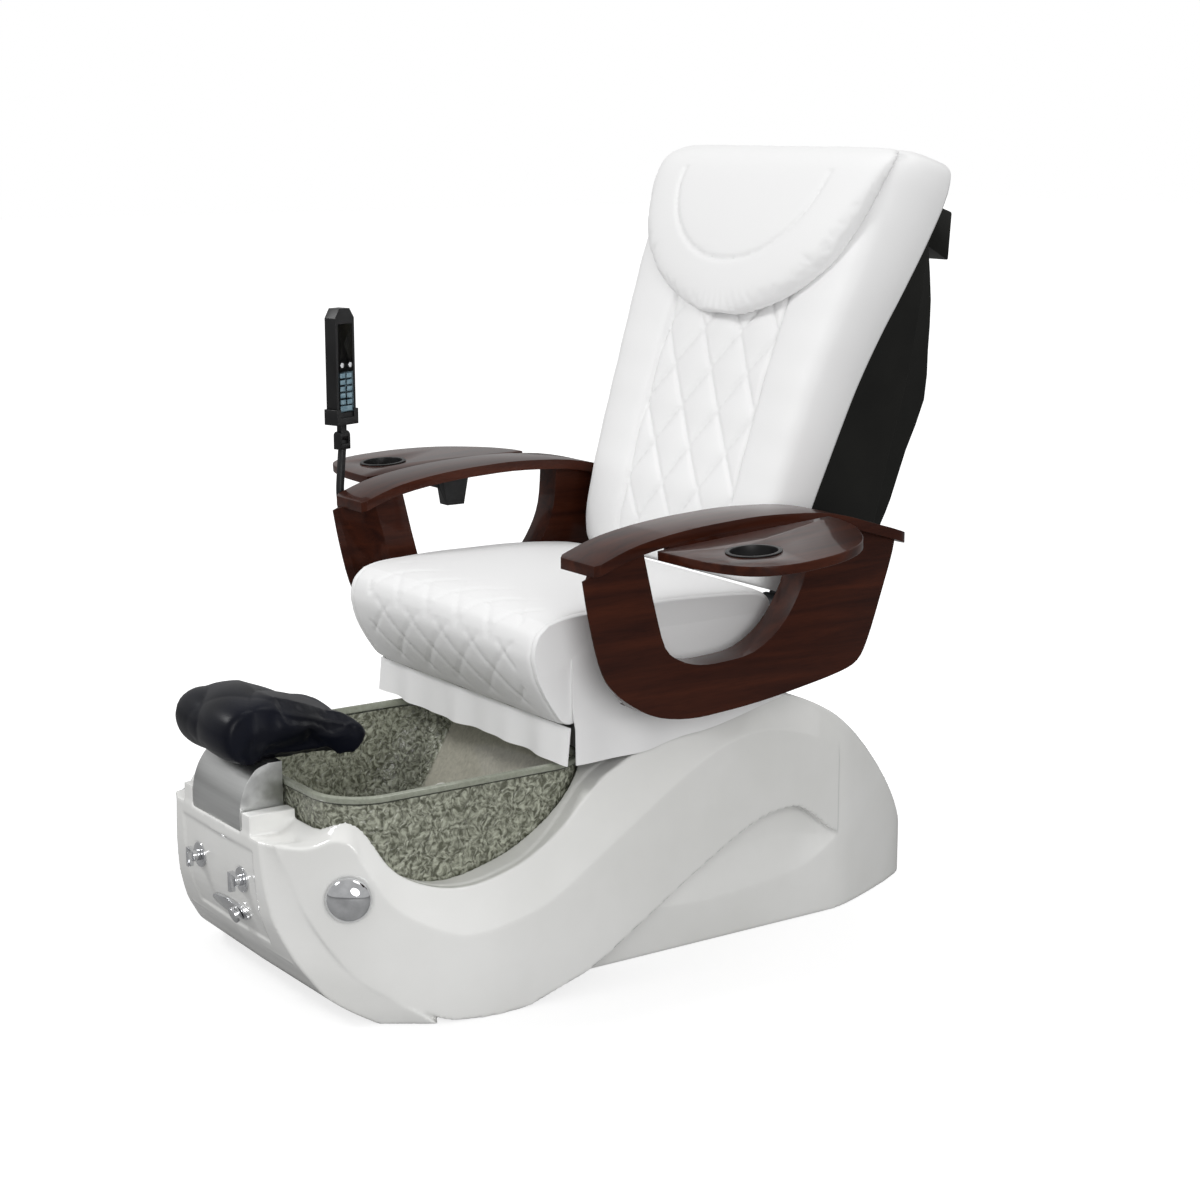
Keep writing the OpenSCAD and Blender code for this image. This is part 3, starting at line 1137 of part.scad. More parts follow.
module remote_handset() color(black) at_remote() difference() {
    translate([handset_x0, -handset_w / 2, handset_h0]) intersection() {
        cube([handset_t, handset_w, handset_h]);
        rotate([90, 0, 90]) linear_extrude(handset_t) polygon([[6, 0], [handset_w - 6, 0],
            [handset_w, 10],
            [handset_w, handset_h - 18], [handset_w - 12, handset_h], [12, handset_h],
                [0, handset_h - 18], [0, 10]]);
    }
    translate([face_x - 2, -handset_w / 2 + 7, screen_h0]) cube([5, handset_w - 14, 64]);
    translate([face_x - 1.5, -handset_w / 2 + 6, keys_h0]) cube([5, handset_w - 12, 78]);
    for (y = [-11, 11]) translate([face_x - 6, y, button_h]) rotate([0, 90, 0])
        cylinder(h = 10, r = button_r + run_gap, $fn = 48);
}
module remote_screen() color([0.45, 0.47, 0.4]) at_remote()
    translate([face_x - 1.9, -handset_w / 2 + 7.1, screen_h0 + 0.1])
        cube([1.9, handset_w - 14.2, 63.8]);
module remote_keypad() color([0.25, 0.55, 0.7]) at_remote() union() {
    translate([face_x - 1.4, -handset_w / 2 + 6.1, keys_h0 + 0.1]) cube([1.4, handset_w - 12.2, 77.8]);
    for (r = [0:5]) for (c = [-1, 1]) if (r > 0) translate([face_x - 0.5, c * 9 - 6.5,
        keys_h0 + 3 + 12.6 * r]) cube([1.3, 13, 8]);
    translate([face_x - 0.5, -15.5, keys_h0 + 3]) cube([1.3, 31, 9]);
}
module button(y) at_remote() translate([face_x - 6 + button_travel + 0.2, y, button_h])
    rotate([0, 90, 0]) cylinder(h = 7, r = button_r, $fn = 48);
module remote_button_up() color(chrome) button(-11);
module remote_button_down() color(chrome) button(11);

base_shell();
floor_frame();
rear_panel();
bowl();
jet_housing();
jet_motor();
jet_impeller();
drain_strainer();
drain_plug();
drain_pipe();
fill_spout();
spout_hose();
hot_valve();
cold_valve();
tap_plates();
hot_handle();
cold_handle();
supply_hoses();
spray_holder();
spray_head();
drain_knob();
control_box();
seat_rails();
footrest_bracket();
footrest_pad();
seat_frame();
seat_actuator();
seat_cushion();
front_skirt();
side_skirt_left();
side_skirt_right();
arm_panel_left();
arm_panel_right();
arm_cap_left();
arm_cap_right();
arm_bolts();
tray_bracket_left();
tray_bracket_right();
tray_left();
tray_right();
tray_hinge_left();
tray_hinge_right();
cup_ring_left();
cup_ring_right();
back_frame();
back_shell();
back_cushion();
pillow();
rail_cover();
massage_carriage();
massage_rollers();
remote_stalk();
remote_cradle();
remote_handset();
remote_screen();
remote_keypad();
remote_button_up();
remote_button_down();
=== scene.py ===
"""Pedicure spa chair: its looks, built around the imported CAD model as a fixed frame.

Metres, Z up, the sitter faces -Y and +X is the sitter's left. Tables of shapes are in millimetres.
"""

import json
import math

import bpy
import numpy as np
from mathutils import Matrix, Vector

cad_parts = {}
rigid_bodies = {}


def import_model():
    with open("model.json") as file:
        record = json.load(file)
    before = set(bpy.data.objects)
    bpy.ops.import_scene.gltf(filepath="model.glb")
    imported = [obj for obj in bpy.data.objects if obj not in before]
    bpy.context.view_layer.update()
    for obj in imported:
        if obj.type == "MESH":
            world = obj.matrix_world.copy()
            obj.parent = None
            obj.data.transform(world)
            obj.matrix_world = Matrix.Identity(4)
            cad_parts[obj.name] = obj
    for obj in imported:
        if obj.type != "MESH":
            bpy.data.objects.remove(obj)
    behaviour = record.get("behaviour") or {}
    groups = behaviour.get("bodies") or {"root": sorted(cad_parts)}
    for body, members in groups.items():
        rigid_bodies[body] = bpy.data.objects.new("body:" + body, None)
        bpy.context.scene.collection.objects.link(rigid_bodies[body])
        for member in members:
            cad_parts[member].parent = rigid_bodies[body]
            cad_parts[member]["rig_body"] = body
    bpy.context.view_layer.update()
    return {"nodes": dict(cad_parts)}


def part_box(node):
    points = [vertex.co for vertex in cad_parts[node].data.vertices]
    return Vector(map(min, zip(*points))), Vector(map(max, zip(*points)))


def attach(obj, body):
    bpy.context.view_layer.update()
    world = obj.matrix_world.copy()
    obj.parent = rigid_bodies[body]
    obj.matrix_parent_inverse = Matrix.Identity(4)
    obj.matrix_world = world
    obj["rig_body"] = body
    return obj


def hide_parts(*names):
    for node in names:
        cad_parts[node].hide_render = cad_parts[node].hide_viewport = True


bl_info = {
    "name": "Pedicure spa chair",
    "version": (1, 0, 0),
    "blender": (4, 5, 0),
    "location": "3D View > Sidebar > Spa chair",
    "description": "Models and finishes the pieces of a pedicure spa chair",
    "category": "Object",
}

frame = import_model()
MM = 0.001
ROD_SIDES = 48
CORNER_SIDES = 14


# ---------------------------------------------------------------- colours and nodes
def linear(code):
    """Linear RGB of an sRGB hex colour."""
    parts = [int(code[i:i + 2], 16) / 255 for i in (1, 3, 5)]
    return tuple(c / 12.92 if c <= 0.04045 else ((c + 0.055) / 1.055) ** 2.4 for c in parts)


def rgba(colour):
    """Opaque colour from linear RGB or from an sRGB hex code."""
    return (*(linear(colour) if isinstance(colour, str) else colour), 1.0)


def set_up(node, settings):
    """Gives a node its settings: each is a value, or another node's output as (node, output)."""
    for key, value in settings.items():
        if isinstance(value, tuple) and isinstance(value[0], bpy.types.Node):
            node.id_data.links.new(value[0].outputs[value[1]], node.inputs[key])
        elif isinstance(key, str) and hasattr(node, key):
            setattr(node, key, value)
        else:
            node.inputs[key].default_value = value


def add_node(tree, kind, settings=None):
    """Adds a shader node with its settings."""
    made = tree.nodes.new("ShaderNode" + kind)
    set_up(made, settings or {})
    return made


def calc(tree, operation, *terms):
    """Output of a sum; each term is a number or another node's output."""
    return add_node(tree, "Math", {"operation": operation, **dict(enumerate(terms))}), "Value"


def noise(source, scale, detail, **more):
    """Output of a noise pattern over the coordinates in source; its scale is per metre."""
    return add_node(source[0].id_data, "TexNoise",
                    {"Vector": source, "Scale": scale, "Detail": detail, **more}), "Fac"


def remap(source, low, high, start=0.0, end=1.0):
    """Output that goes from low to high while source goes from start to end."""
    return add_node(source[0].id_data, "MapRange",
                    {"Value": source, "From Min": start, "From Max": end,
                     "To Min": low, "To Max": high}), "Result"


def step_mask(source, edge, blend_mm):
    """Mask that turns from 0 to 1 past an edge, or from 1 to 0 where the blend is negative."""
    return remap(source, float(blend_mm < 0), float(blend_mm > 0), edge, edge + abs(blend_mm) * MM)


def two_tone(source, low, high, dark, light):
    """Colour that goes from dark to light while a pattern goes from low to high."""
    ramp = add_node(source[0].id_data, "ValToRGB", {"Fac": source})
    first, last = ramp.color_ramp.elements
    first.position, first.color = low, rgba(dark)
    last.position, last.color = high, rgba(light)
    return ramp, "Color"


def bump(height, depth_mm, strength, **more):
    """Normals of a relief of so many millimetres."""
    return add_node(height[0].id_data, "Bump", {"Height": height, "Distance": depth_mm * MM,
                                                "Strength": strength, **more}), "Normal"


def empty_tree(owner):
    """Node tree of a material or a world, with nothing in it."""
    owner.use_nodes = True
    owner.node_tree.nodes.clear()
    return owner.node_tree


def new_finish(name, **settings):
    """Tree and shader of a new material, and the output with the piece's own coordinates."""
    tree = empty_tree(bpy.data.materials.new(name))
    shader = add_node(tree, "BsdfPrincipled",
                      {key.replace("_", " "): value for key, value in settings.items()})
    add_node(tree, "OutputMaterial", {"Surface": (shader, "BSDF")})
    return tree, shader, (add_node(tree, "TexCoord"), "Object")


def plain_finish(name, dark, light, roughness, patch_mm=60.0, grain_mm=0.8, relief_mm=0.02,
                 stretch=(1, 1, 1), spread=0.08, **shader_settings):
    """Finish with slow changes of tone and gloss over patches, and a fine grain in its relief."""
    tree, shader, place = new_finish(name, **shader_settings)
    lay = add_node(tree, "Mapping", {"Vector": place, "Scale": stretch}), "Vector"
    patch = noise(lay, 1 / (patch_mm * MM), 4.0)
    grain = noise(lay, 1 / (grain_mm * MM), 3.0)
    set_up(shader, {"Base Color": two_tone(patch, 0.3, 0.7, dark, light),
                    "Roughness": remap(patch, max(0.02, roughness - spread), roughness + spread),
                    "Normal": bump(grain, relief_mm, 1.0)})


def leatherette_finish(name, dark, light, roughness, sheen, shine):
    """Leatherette is PVC pressed with a leather grain: small rounded pebbles and a soft gloss."""
    tree, shader, place = new_finish(name, Specular_IOR_Level=shine, Sheen_Weight=sheen)
    patch = noise(place, 9.0, 5.0)
    # leather pebbles are about 1 mm; they are drawn at 2 mm so that they show
    pebble = add_node(tree, "TexVoronoi", {"Vector": place, "Scale": 1 / (2.0 * MM)}), "Distance"
    folds = bump(patch, 2.2, 0.5)
    set_up(shader, {"Base Color": two_tone(patch, 0.3, 0.72, dark, light),
                    "Roughness": remap(patch, roughness - 0.07, roughness + 0.09),
                    "Normal": bump(pebble, 0.12, 0.35, invert=True, Normal=folds)})


def lacquered_walnut(name, colours):
    """Walnut under thick polyester lacquer: long dark grain below a mirror-like clear coat."""
    tree, shader, place = new_finish(name, Coat_Weight=0.5, Coat_Roughness=0.04, Coat_IOR=1.25,
                                     Roughness=0.36, Specular_IOR_Level=0.1)
    # the grain runs along the arms: the pattern is stretched 14 times along Y
    lay = add_node(tree, "Mapping", {"Vector": place, "Scale": (1.0, 0.07, 1.0)}), "Vector"
    figure = noise(lay, 1 / (28 * MM), 5.0, Distortion=0.6)
    pores = noise(lay, 1 / (2.2 * MM), 2.0)
    tone = two_tone(figure, 0.3, 0.72, colours.walnut_dark, colours.walnut_light)
    shade = two_tone(pores, 0.34, 0.52, (0.6, 0.6, 0.6), (1, 1, 1))
    mixed = add_node(tree, "Mix", {"data_type": "RGBA", "blend_type": "MULTIPLY", 0: 0.4,
                                   6: tone, 7: shade})
    set_up(shader, {"Base Color": (mixed, 2), "Normal": bump(pores, 0.05, 0.2)})


def crackled_acrylic(name, colours):
    """Clear acrylic with a crackled face; its lip and its sloping rear wall are polished smooth,
    and a band of painted shadow lies just under the lip.
    """
    tree, shader, place = new_finish(name, IOR=1.49)
    at = add_node(tree, "SeparateXYZ", {"Vector": place})
    lip = step_mask((at, "Z"), (BOWL_RIM - 12) * MM, 1.0)
    # painted shadow: a thin dark band just under the rolled lip, where the lip's overhang shades
    # the wall
    line = step_mask((at, "Z"), (BOWL_RIM - 15.5) * MM, 1.5)
    # the rear wall leans back, and lies between the rounded corners
    lean = calc(tree, "MULTIPLY_ADD", (at, "Z"), -REAR_LEAN, REAR_LEAN * BOWL_RIM * MM)
    behind = step_mask(calc(tree, "ADD", (at, "Y"), lean), (BOWL_Y1 - 45) * MM, 6.0)
    middle = step_mask(calc(tree, "ABSOLUTE", (at, "X")), (BOWL_HALF - BOWL_CORNER + 6) * MM, -8.0)
    rear = calc(tree, "MULTIPLY", behind, middle)
    polished = calc(tree, "MAXIMUM", lip, rear)
    warp = noise(place, 38.0, 2.0)[0], "Color"
    bent = add_node(tree, "Mix", {"data_type": "VECTOR", 0: 0.035, 4: place, 5: warp}), 1
    cells = add_node(tree, "TexVoronoi", {"feature": "SMOOTH_F1", "Vector": bent,
                                          "Scale": 1 / (10 * MM), "Smoothness": 0.35}), "Distance"
    fine = noise(bent, 1 / (8 * MM), 2.5)
    strength = calc(tree, "MULTIPLY", calc(tree, "SUBTRACT", 1.0, polished), 0.9)
    tone = two_tone(fine, 0.38, 0.66, colours.bowl_dark, colours.bowl_light)
    for mask, colour in ((rear, colours.bowl_rear), (line, colours.bowl_painted_shadow),
                         (lip, colours.bowl_lip)):
        tone = add_node(tree, "Mix", {"data_type": "RGBA", 0: mask, 6: tone, 7: rgba(colour)}), 2
    set_up(shader, {"Base Color": tone, "Roughness": remap(polished, 0.22, 0.06),
                    "Transmission Weight": remap(fine, 0.35, 0.12, 0.3, 0.75),
                    "Normal": bump(calc(tree, "ADD", cells, fine), 3.5, strength)})


# ---------------------------------------------------------------- sizes and colours
def colour_prop(name, text, code):
    return bpy.props.FloatVectorProperty(name=name, description=text, size=3, min=0.0, max=1.0,
                                         subtype="COLOR", default=linear(code))


def length_prop(name, text, millimetres):
    return bpy.props.FloatProperty(name=name, description=text, min=0.0, unit="LENGTH",
                                   default=millimetres * MM)


class ChairSizes(bpy.types.PropertyGroup):
    voxel: length_prop("Moulding detail", "Grid size that the moulded base is drawn with", 3.2)
    shell: length_prop("Base wall", "Wall of the moulded base", 9.0)
    bowl_wall: length_prop("Bowl wall", "Wall of the clear foot bowl", 7.0)
    diamond_w: length_prop("Diamond half width", "Half width of a sewn diamond", 55.0)
    diamond_h: length_prop("Diamond half height", "Half height of a sewn diamond", 75.5)
    quilt: length_prop("Quilt depth", "How far the padding stands over its seams", 8.0)
    wood_round: length_prop("Wood edge", "Radius of the edges of the arms and trays", 4.5)
    metal_round: length_prop("Metal edge", "Radius of the edges of metal and plastic pieces", 1.2)


class ChairColours(bpy.types.PropertyGroup):
    gelcoat_dark: colour_prop("Gelcoat shade", "Darker tone of the base", "#EBEBE8")
    gelcoat_light: colour_prop("Gelcoat", "Lighter tone of the base", "#F5F5F3")
    hide_dark: colour_prop("Upholstery shade", "Darker tone of the white upholstery", "#BFBFBE")
    hide_light: colour_prop("Upholstery", "Lighter tone of the white upholstery", "#CACAC9")
    navy_dark: colour_prop("Footrest shade", "Darker tone of the footrest cover", "#05060C")
    navy_light: colour_prop("Footrest", "Lighter tone of the footrest cover", "#0D101C")
    walnut_dark: colour_prop("Walnut grain", "Dark grain of the arms and trays", "#28100A")
    walnut_light: colour_prop("Walnut", "Light grain of the arms and trays", "#462012")
    shell_dark: colour_prop("Back shell shade", "Darker tone of the back shell", "#0E0E0C")
    shell_light: colour_prop("Back shell", "Lighter tone of the back shell", "#171714")
    bowl_dark: colour_prop("Bowl shade", "Darker tone of the crackled bowl", "#6A6C5C")
    bowl_light: colour_prop("Bowl", "Lighter tone of the crackled bowl", "#C2C5B3")
    bowl_rear: colour_prop("Bowl rear", "Smooth rear wall of the bowl", "#C9C6B8")
    bowl_lip: colour_prop("Bowl lip", "Polished lip of the bowl", "#A9AD9E")
    # painted shadow: colour of the thin dark band under the bowl's lip
    bowl_painted_shadow: colour_prop("Bowl line", "Shadow line under the lip", "#34382F")


# ---------------------------------------------------------------- curves and meshes
def smooth_line(points, steps=6):
    """Points on a smooth curve through the given ones."""
    p = [np.array(q, float) for q in points]
    line = []
    for i in range(len(p) - 1):
        a, b, c, d = p[max(i - 1, 0)], p[i], p[i + 1], p[min(i + 2, len(p) - 1)]
        for k in range(steps):
            t = k / steps
            line.append((2 * b + (c - a) * t + (2 * a - 5 * b + 4 * c - d) * t * t
                         + (3 * b - a - 3 * c + d) * t ** 3) / 2)
    return np.array(line + [p[-1]])


def table(points, column=1):
    """Function that reads a smooth curve through a table at any place along it."""
    line = smooth_line(points)
    return lambda x: np.interp(x, line[:, 0], line[:, column])


def deselect():
    """Nothing stays selected."""
    for o in bpy.context.view_layer.objects:
        if o.select_get():
            o.select_set(False)


def select(*objects):
    """These objects, and nothing else, are selected; the first is the active one."""
    deselect()
    for o in objects:
        o.hide_set(False)
        o.select_set(True)
    bpy.context.view_layer.objects.active = objects[0]


def new_piece(name, points, faces):
    """Object from points in millimetres and faces, all facing outwards."""
    mesh = bpy.data.meshes.new(name)
    mesh.from_pydata([tuple(p) for p in np.asarray(points, float) * MM], [], faces)
    piece = bpy.data.objects.new(name, mesh)
    bpy.context.scene.collection.objects.link(piece)
    face_outwards(piece)
    return piece


def face_outwards(piece):
    """Joins doubled points, then turns every face outwards."""
    select(piece)
    bpy.ops.object.mode_set(mode="EDIT")
    bpy.ops.mesh.select_all(action="SELECT")
    bpy.ops.mesh.remove_doubles(threshold=1e-6)
    bpy.ops.mesh.normals_make_consistent(inside=False)
    bpy.ops.object.mode_set(mode="OBJECT")


def ring_faces(rings, around, closed=True):
    """Quads between neighbouring rings of points."""
    count = around if closed else around - 1
    return [(i * around + j, i * around + (j + 1) % around,
             (i + 1) * around + (j + 1) % around, (i + 1) * around + j)
            for i in range(rings - 1) for j in range(count)]


def loft(name, rings):
    """Closed solid through rings of points, with a flat face on each end."""
    n, m = len(rings[0]), len(rings)
    faces = ring_faces(m, n)
    faces += [tuple(range(n - 1, -1, -1)), tuple((m - 1) * n + j for j in range(n))]
    return new_piece(name, [p for r in rings for p in r], faces)


def box_piece(name, low, high):
    """Box between two corners, from a cube primitive."""
    low, high = np.array(low, float) * MM, np.array(high, float) * MM
    deselect()
    bpy.ops.mesh.primitive_cube_add(size=1.0, location=tuple((low + high) / 2),
                                    scale=tuple(high - low))
    return settle(name)


def rod_piece(name, start, direction, radius, length):
    """Cylinder from a point along a direction, from a cylinder primitive."""
    way = Vector(direction).normalized()
    middle = Vector(start) + way * length / 2
    deselect()
    bpy.ops.mesh.primitive_cylinder_add(vertices=ROD_SIDES, radius=radius * MM, depth=length * MM,
                                        location=middle * MM,
                                        rotation=way.to_track_quat("Z", "Y").to_euler())
    return settle(name)


def settle(name):
    """Names the new primitive and puts its place into its mesh."""
    piece = bpy.context.object
    piece.name = piece.data.name = name
    bpy.ops.object.transform_apply(location=True, rotation=True, scale=True)
    return piece


def modify(piece, kind, **settings):
    """Adds a modifier and applies it."""
    select(piece)
    added = piece.modifiers.new(kind.title(), kind)
    for key, value in settings.items():
        setattr(added, key, value)
    bpy.ops.object.modifier_apply(modifier=added.name)
    return piece


def joined(pieces, name):
    """One object of several."""
    select(*pieces)
    if len(pieces) > 1:
        bpy.ops.object.join()
    made = bpy.context.view_layer.objects.active
    made.name = made.data.name = name
    return made


def carve(piece, cutters, operation="DIFFERENCE"):
    """Cuts closed shapes out of a piece, or joins them to it, and removes them."""
    for cutter in cutters:
        modify(piece, "BOOLEAN", operation=operation, solver="MANIFOLD", object=cutter)
        bpy.data.objects.remove(cutter)


def smooth_shading(piece, angle):
    """Shades a piece smooth except over the edges that are sharper than an angle."""
    select(piece)
    bpy.ops.object.shade_smooth_by_angle(angle=math.radians(angle))


def copy_node(name, node):
    """Copy of a CAD node whose triangles are merged into whole faces."""
    source = frame["nodes"][node]
    piece = bpy.data.objects.new(name, source.data.copy())
    piece.data.name = name
    piece.data.materials.clear()
    bpy.context.scene.collection.objects.link(piece)
    select(piece)
    bpy.ops.mesh.customdata_custom_splitnormals_clear()
    bpy.ops.object.mode_set(mode="EDIT")
    bpy.ops.mesh.select_all(action="SELECT")
    bpy.ops.mesh.remove_doubles(threshold=2e-5)
    bpy.ops.mesh.dissolve_limited(angle_limit=math.radians(0.6))
    bpy.ops.object.mode_set(mode="OBJECT")
    return piece


def round_edges(piece, width, segments, angle, shade=35.0):
    """Rounds the edges that are sharper than an angle."""
    modify(piece, "BEVEL", width=width, segments=segments, limit_method="ANGLE",
           angle_limit=math.radians(angle), miter_outer="MITER_ARC", use_clamp_overlap=True)
    smooth_shading(piece, shade)


def paint(mesh, finish):
    """Gives a mesh one material and no other."""
    mesh.materials.clear()
    mesh.materials.append(bpy.data.materials[finish])


def put(piece, body, finish, nodes):
    """Gives a finished piece its material and body, and hides the CAD nodes it stands for."""
    paint(piece.data, finish)
    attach(piece, body)
    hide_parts(*nodes)


def dressed_copy(node, finish, width, segments=3, angle=32.0):
    """A CAD node as a finished piece with rounded edges."""
    piece = copy_node(node + "_piece", node)
    round_edges(piece, width, segments, angle)
    put(piece, frame["nodes"][node]["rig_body"], finish, [node])


def read_points(piece, field="co"):
    """Places in metres, or normals, of a piece's points, a row each."""
    values = np.empty(len(piece.data.vertices) * 3, np.float32)
    piece.data.vertices.foreach_get(field, values)
    return values.reshape(-1, 3)


def set_points(piece, points):
    """Puts a piece's points at new places in metres."""
    piece.data.vertices.foreach_set("co", points.astype(np.float32).ravel())
    piece.data.update()


def move_points(piece, change):
    """Moves all points of a piece: change takes them in millimetres and gives them back."""
    set_points(piece, change(read_points(piece).astype(float) / MM) * MM)


def point_normals(piece):
    """Normals of a piece's points."""
    return read_points(piece, "normal").astype(float)


def crease(distance, width):
    """Depth of a sewn seam, from 1 on the seam to 0 away from it, in a soft valley."""
    return np.exp(-np.abs(distance) / width)


# ---------------------------------------------------------------- base
BAND_PLAN = [(-505, 158), (-470, 200), (-430, 240), (-400, 265), (-350, 300), (-300, 325),
             (-250, 345), (-200, 358), (-150, 363), (-100, 362), (0, 357), (100, 350), (200, 341),
             (300, 331), (400, 319), (500, 305), (600, 286), (640, 277.5)]
BODY_PLAN = [(-460, 190), (-430, 215), (-400, 232), (-350, 255), (-300, 276), (-250, 294),
             (-200, 308), (-150, 314), (-100, 314), (-50, 306), (0, 290), (60, 277), (150, 277),
             (300, 277), (450, 277), (600, 277), (650, 273), (700, 258), (760, 235), (820, 210),
             (860, 190), (885, 172), (905, 140), (920, 95)]
TOP_EDGE = [(-500, 306), (-470, 306), (-440, 308), (-415, 322), (-395, 338), (-378, 343),
            (-361, 328), (-345, 300), (-324, 265), (-295, 241), (-249, 224), (-199, 221),
            (-144, 231), (-83, 250), (-21, 285), (22, 321), (65, 357), (105, 376), (154, 394),
            (220, 408), (293, 420), (370, 432), (442, 440), (500, 434), (550, 420), (626, 380),
            (708, 315), (788, 236), (850, 160), (885, 100), (902, 50), (920, 6)]
BAND_LOW = [(-484, 306), (-469, 265), (-451, 197), (-415, 123), (-376, 75), (-334, 46),
            (-289, 21), (-251, 4), (-200, 0), (-150, 0), (-103, 2), (-43, 18), (30, 39),
            (132, 91), (271, 161), (406, 218), (498, 228), (554, 208), (613, 163), (645, 146)]
BEVEL_LOW = [(-484, 302), (-440, 312), (-410, 318), (-385, 306), (-365, 262), (-325, 200),
             (-250, 155), (-199, 148), (-130, 158), (-57, 178), (37, 230), (140, 288), (234, 338),
             (339, 380), (449, 384), (570, 344), (645, 285)]
FRONT_SLICES = [(0, 285, -350, 340, -270), (21, 262, -388, 328, -300), (46, 240, -421, 306, -338),
                (75, 226, -442, 280, -378), (108, 210, -462, 258, -405),
                (162, 186, -483, 228, -437), (197, 176, -490, 216, -452),
                (230, 169, -494, 208, -461), (265, 163, -496, 200, -470),
                (306, 156, -497, 190, -484)]
LEAF_LOW = [(180, 86), (190, 88), (300, 78), (423, 84), (558, 102), (640, 146)]
band_half, body_half, top_z = table(BAND_PLAN), table(BODY_PLAN), table(TOP_EDGE)
low_z, bevel_z, leaf_z = table(BAND_LOW), table(BEVEL_LOW), table(LEAF_LOW)
slice_line = smooth_line(FRONT_SLICES, 5)
TROUGH_H, RIB_IN, RIB_OUT, RIB_H = 306, 93, 125, 340
BOWL_Y0, BOWL_Y1, BOWL_HALF, BOWL_CORNER, BOWL_RIM = -410, 95, 270, 90, 384
# how far the bowl's rear wall goes back for each millimetre up
REAR_LEAN = 0.6
# taps in the front, and pipes at the foot of the rear
TAP_X, TAP_Y, TAP_Z, PIPE_Y, PIPE_Z = 81, -540, 220, 800, 52
POST_X, POST_PLACES, POST_HALF = 170, (190, 440), 20.5
RECESS_HALF, RECESS_LOW, RECESS_HIGH = 134, 118, 284
KNOB_Y, KNOB_Z = -393, 220
PANEL_HALF, PANEL_LOW, PANEL_HIGH, PANEL_GAP = 105, 105, 320, 0.7


def fascia_y(z):
    """Front of the fascia at a height."""
    return np.interp(z, slice_line[:, 0], slice_line[:, 2]) - 3


TAP_WALL = float(fascia_y(TAP_Z - 11)) + 5


def band_rings(side, t, step):
    """Cross sections of a wave band: foot, outer face, bevel, top and inner face."""
    rings = []
    for y in np.arange(-483 + (33 if t else 0), (580 if t else 640) + 0.1, step):
        core, outer = body_half(y), band_half(y) - t
        bevel = min(30, max(6, outer - core + 2))
        inner = min(core, outer - bevel) - 10
        top = top_z(y) - t
        low = min(max(0, low_z(y)) + t, top - 12)
        knee = max(min(bevel_z(y) - t / 2, top - 4), low + 4)
        ring = [(inner, y, low), (outer, y, low), (outer, y, knee), (outer - bevel, y, top),
                (inner, y, top - 3)]
        rings.append([(side * x, b, c) for x, b, c in ring])
    return rings


def body_rings(t, step):
    """Cross sections of the body between the bands."""
    rings = []
    for y in np.arange(-460 + t, 920 - t + 0.1, step):
        half = body_half(y) - t
        # the hollow is open below, but not under the front that overhangs
        foot = -20 if t and y > -270 else np.interp(y, [-460, -340, -280], [100, 20, 0]) + t
        top = max(top_z(y) - t, foot + 4)
        rings.append([(-half, y, foot), (half, y, foot), (half, y, top), (-half, y, top)])
    return rings


def block_rings(t):
    """Level slices of the front block."""
    rings = []
    for z, fx, fy, bx, by in slice_line:
        right = [(240 - t, -220), (bx - t, by + 0.7 * t), (fx - t, fy + t)]
        plan = right + [(0, fy - 3 + t)] + [(-x, y) for x, y in right[::-1]]
        height = -20 if t and z < 1 else z - (t if z > 270 else 0)
        rings.append([(x, y, height) for x, y in plan])
    return rings


def moulding_solids(t, step):
    """Closed solids whose union is the base; t is the wall taken off for its hollow."""
    solids = [loft("body", body_rings(t, step)), loft("block", block_rings(t)),
              loft("band_a", band_rings(1, t, step)), loft("band_b", band_rings(-1, t, step))]
    if not t:
        solids.append(box_piece("floor", (-RIB_OUT, -496, TROUGH_H - 30),
                                (RIB_OUT, BOWL_Y0 + 14, 325)))
        for side in (-1, 1):
            low, high = sorted((side * (RIB_IN - 1), side * RIB_OUT))
            solids.append(box_piece("rib", (low, -496, TROUGH_H - 8), (high, BOWL_Y0 + 14, RIB_H)))
    return solids


def outline(half, y0, y1, corner):
    """Rounded rectangle in plan, anticlockwise."""
    points = []
    for cx, cy, turn in ((half - corner, y0 + corner, -90), (half - corner, y1 - corner, 0),
                         (-half + corner, y1 - corner, 90), (-half + corner, y0 + corner, 180)):
        for k in range(CORNER_SIDES + 1):
            a = math.radians(turn + 90 * k / CORNER_SIDES)
            points.append((cx + corner * math.cos(a), cy + corner * math.sin(a)))
    return points


def prism(name, plan, low, high):
    """Upright solid over a plan."""
    return loft(name, [[(x, y, z) for x, y in plan] for z in (low, high)])


def leaf_cutter(side):
    """Pocket under the rear of a band: it slopes from nothing at its foot to deepest at its top."""
    rings = []
    for y in np.arange(186, 642, 8.0):
        foot, roof = leaf_z(y), low_z(y) + 1
        roof = max(roof, foot + 2)
        reach = body_half(y)
        depth = 15 * min(1, (roof - foot) / 60)
        ring = [(reach - 0.3, y, foot), (reach + 60, y, foot), (reach + 60, y, roof),
                (reach - depth, y, roof), (reach - depth * 0.8, y, foot + (roof - foot) * 0.55)]
        rings.append([(side * x, b, c) for x, b, c in ring])
    return loft("leaf", rings)


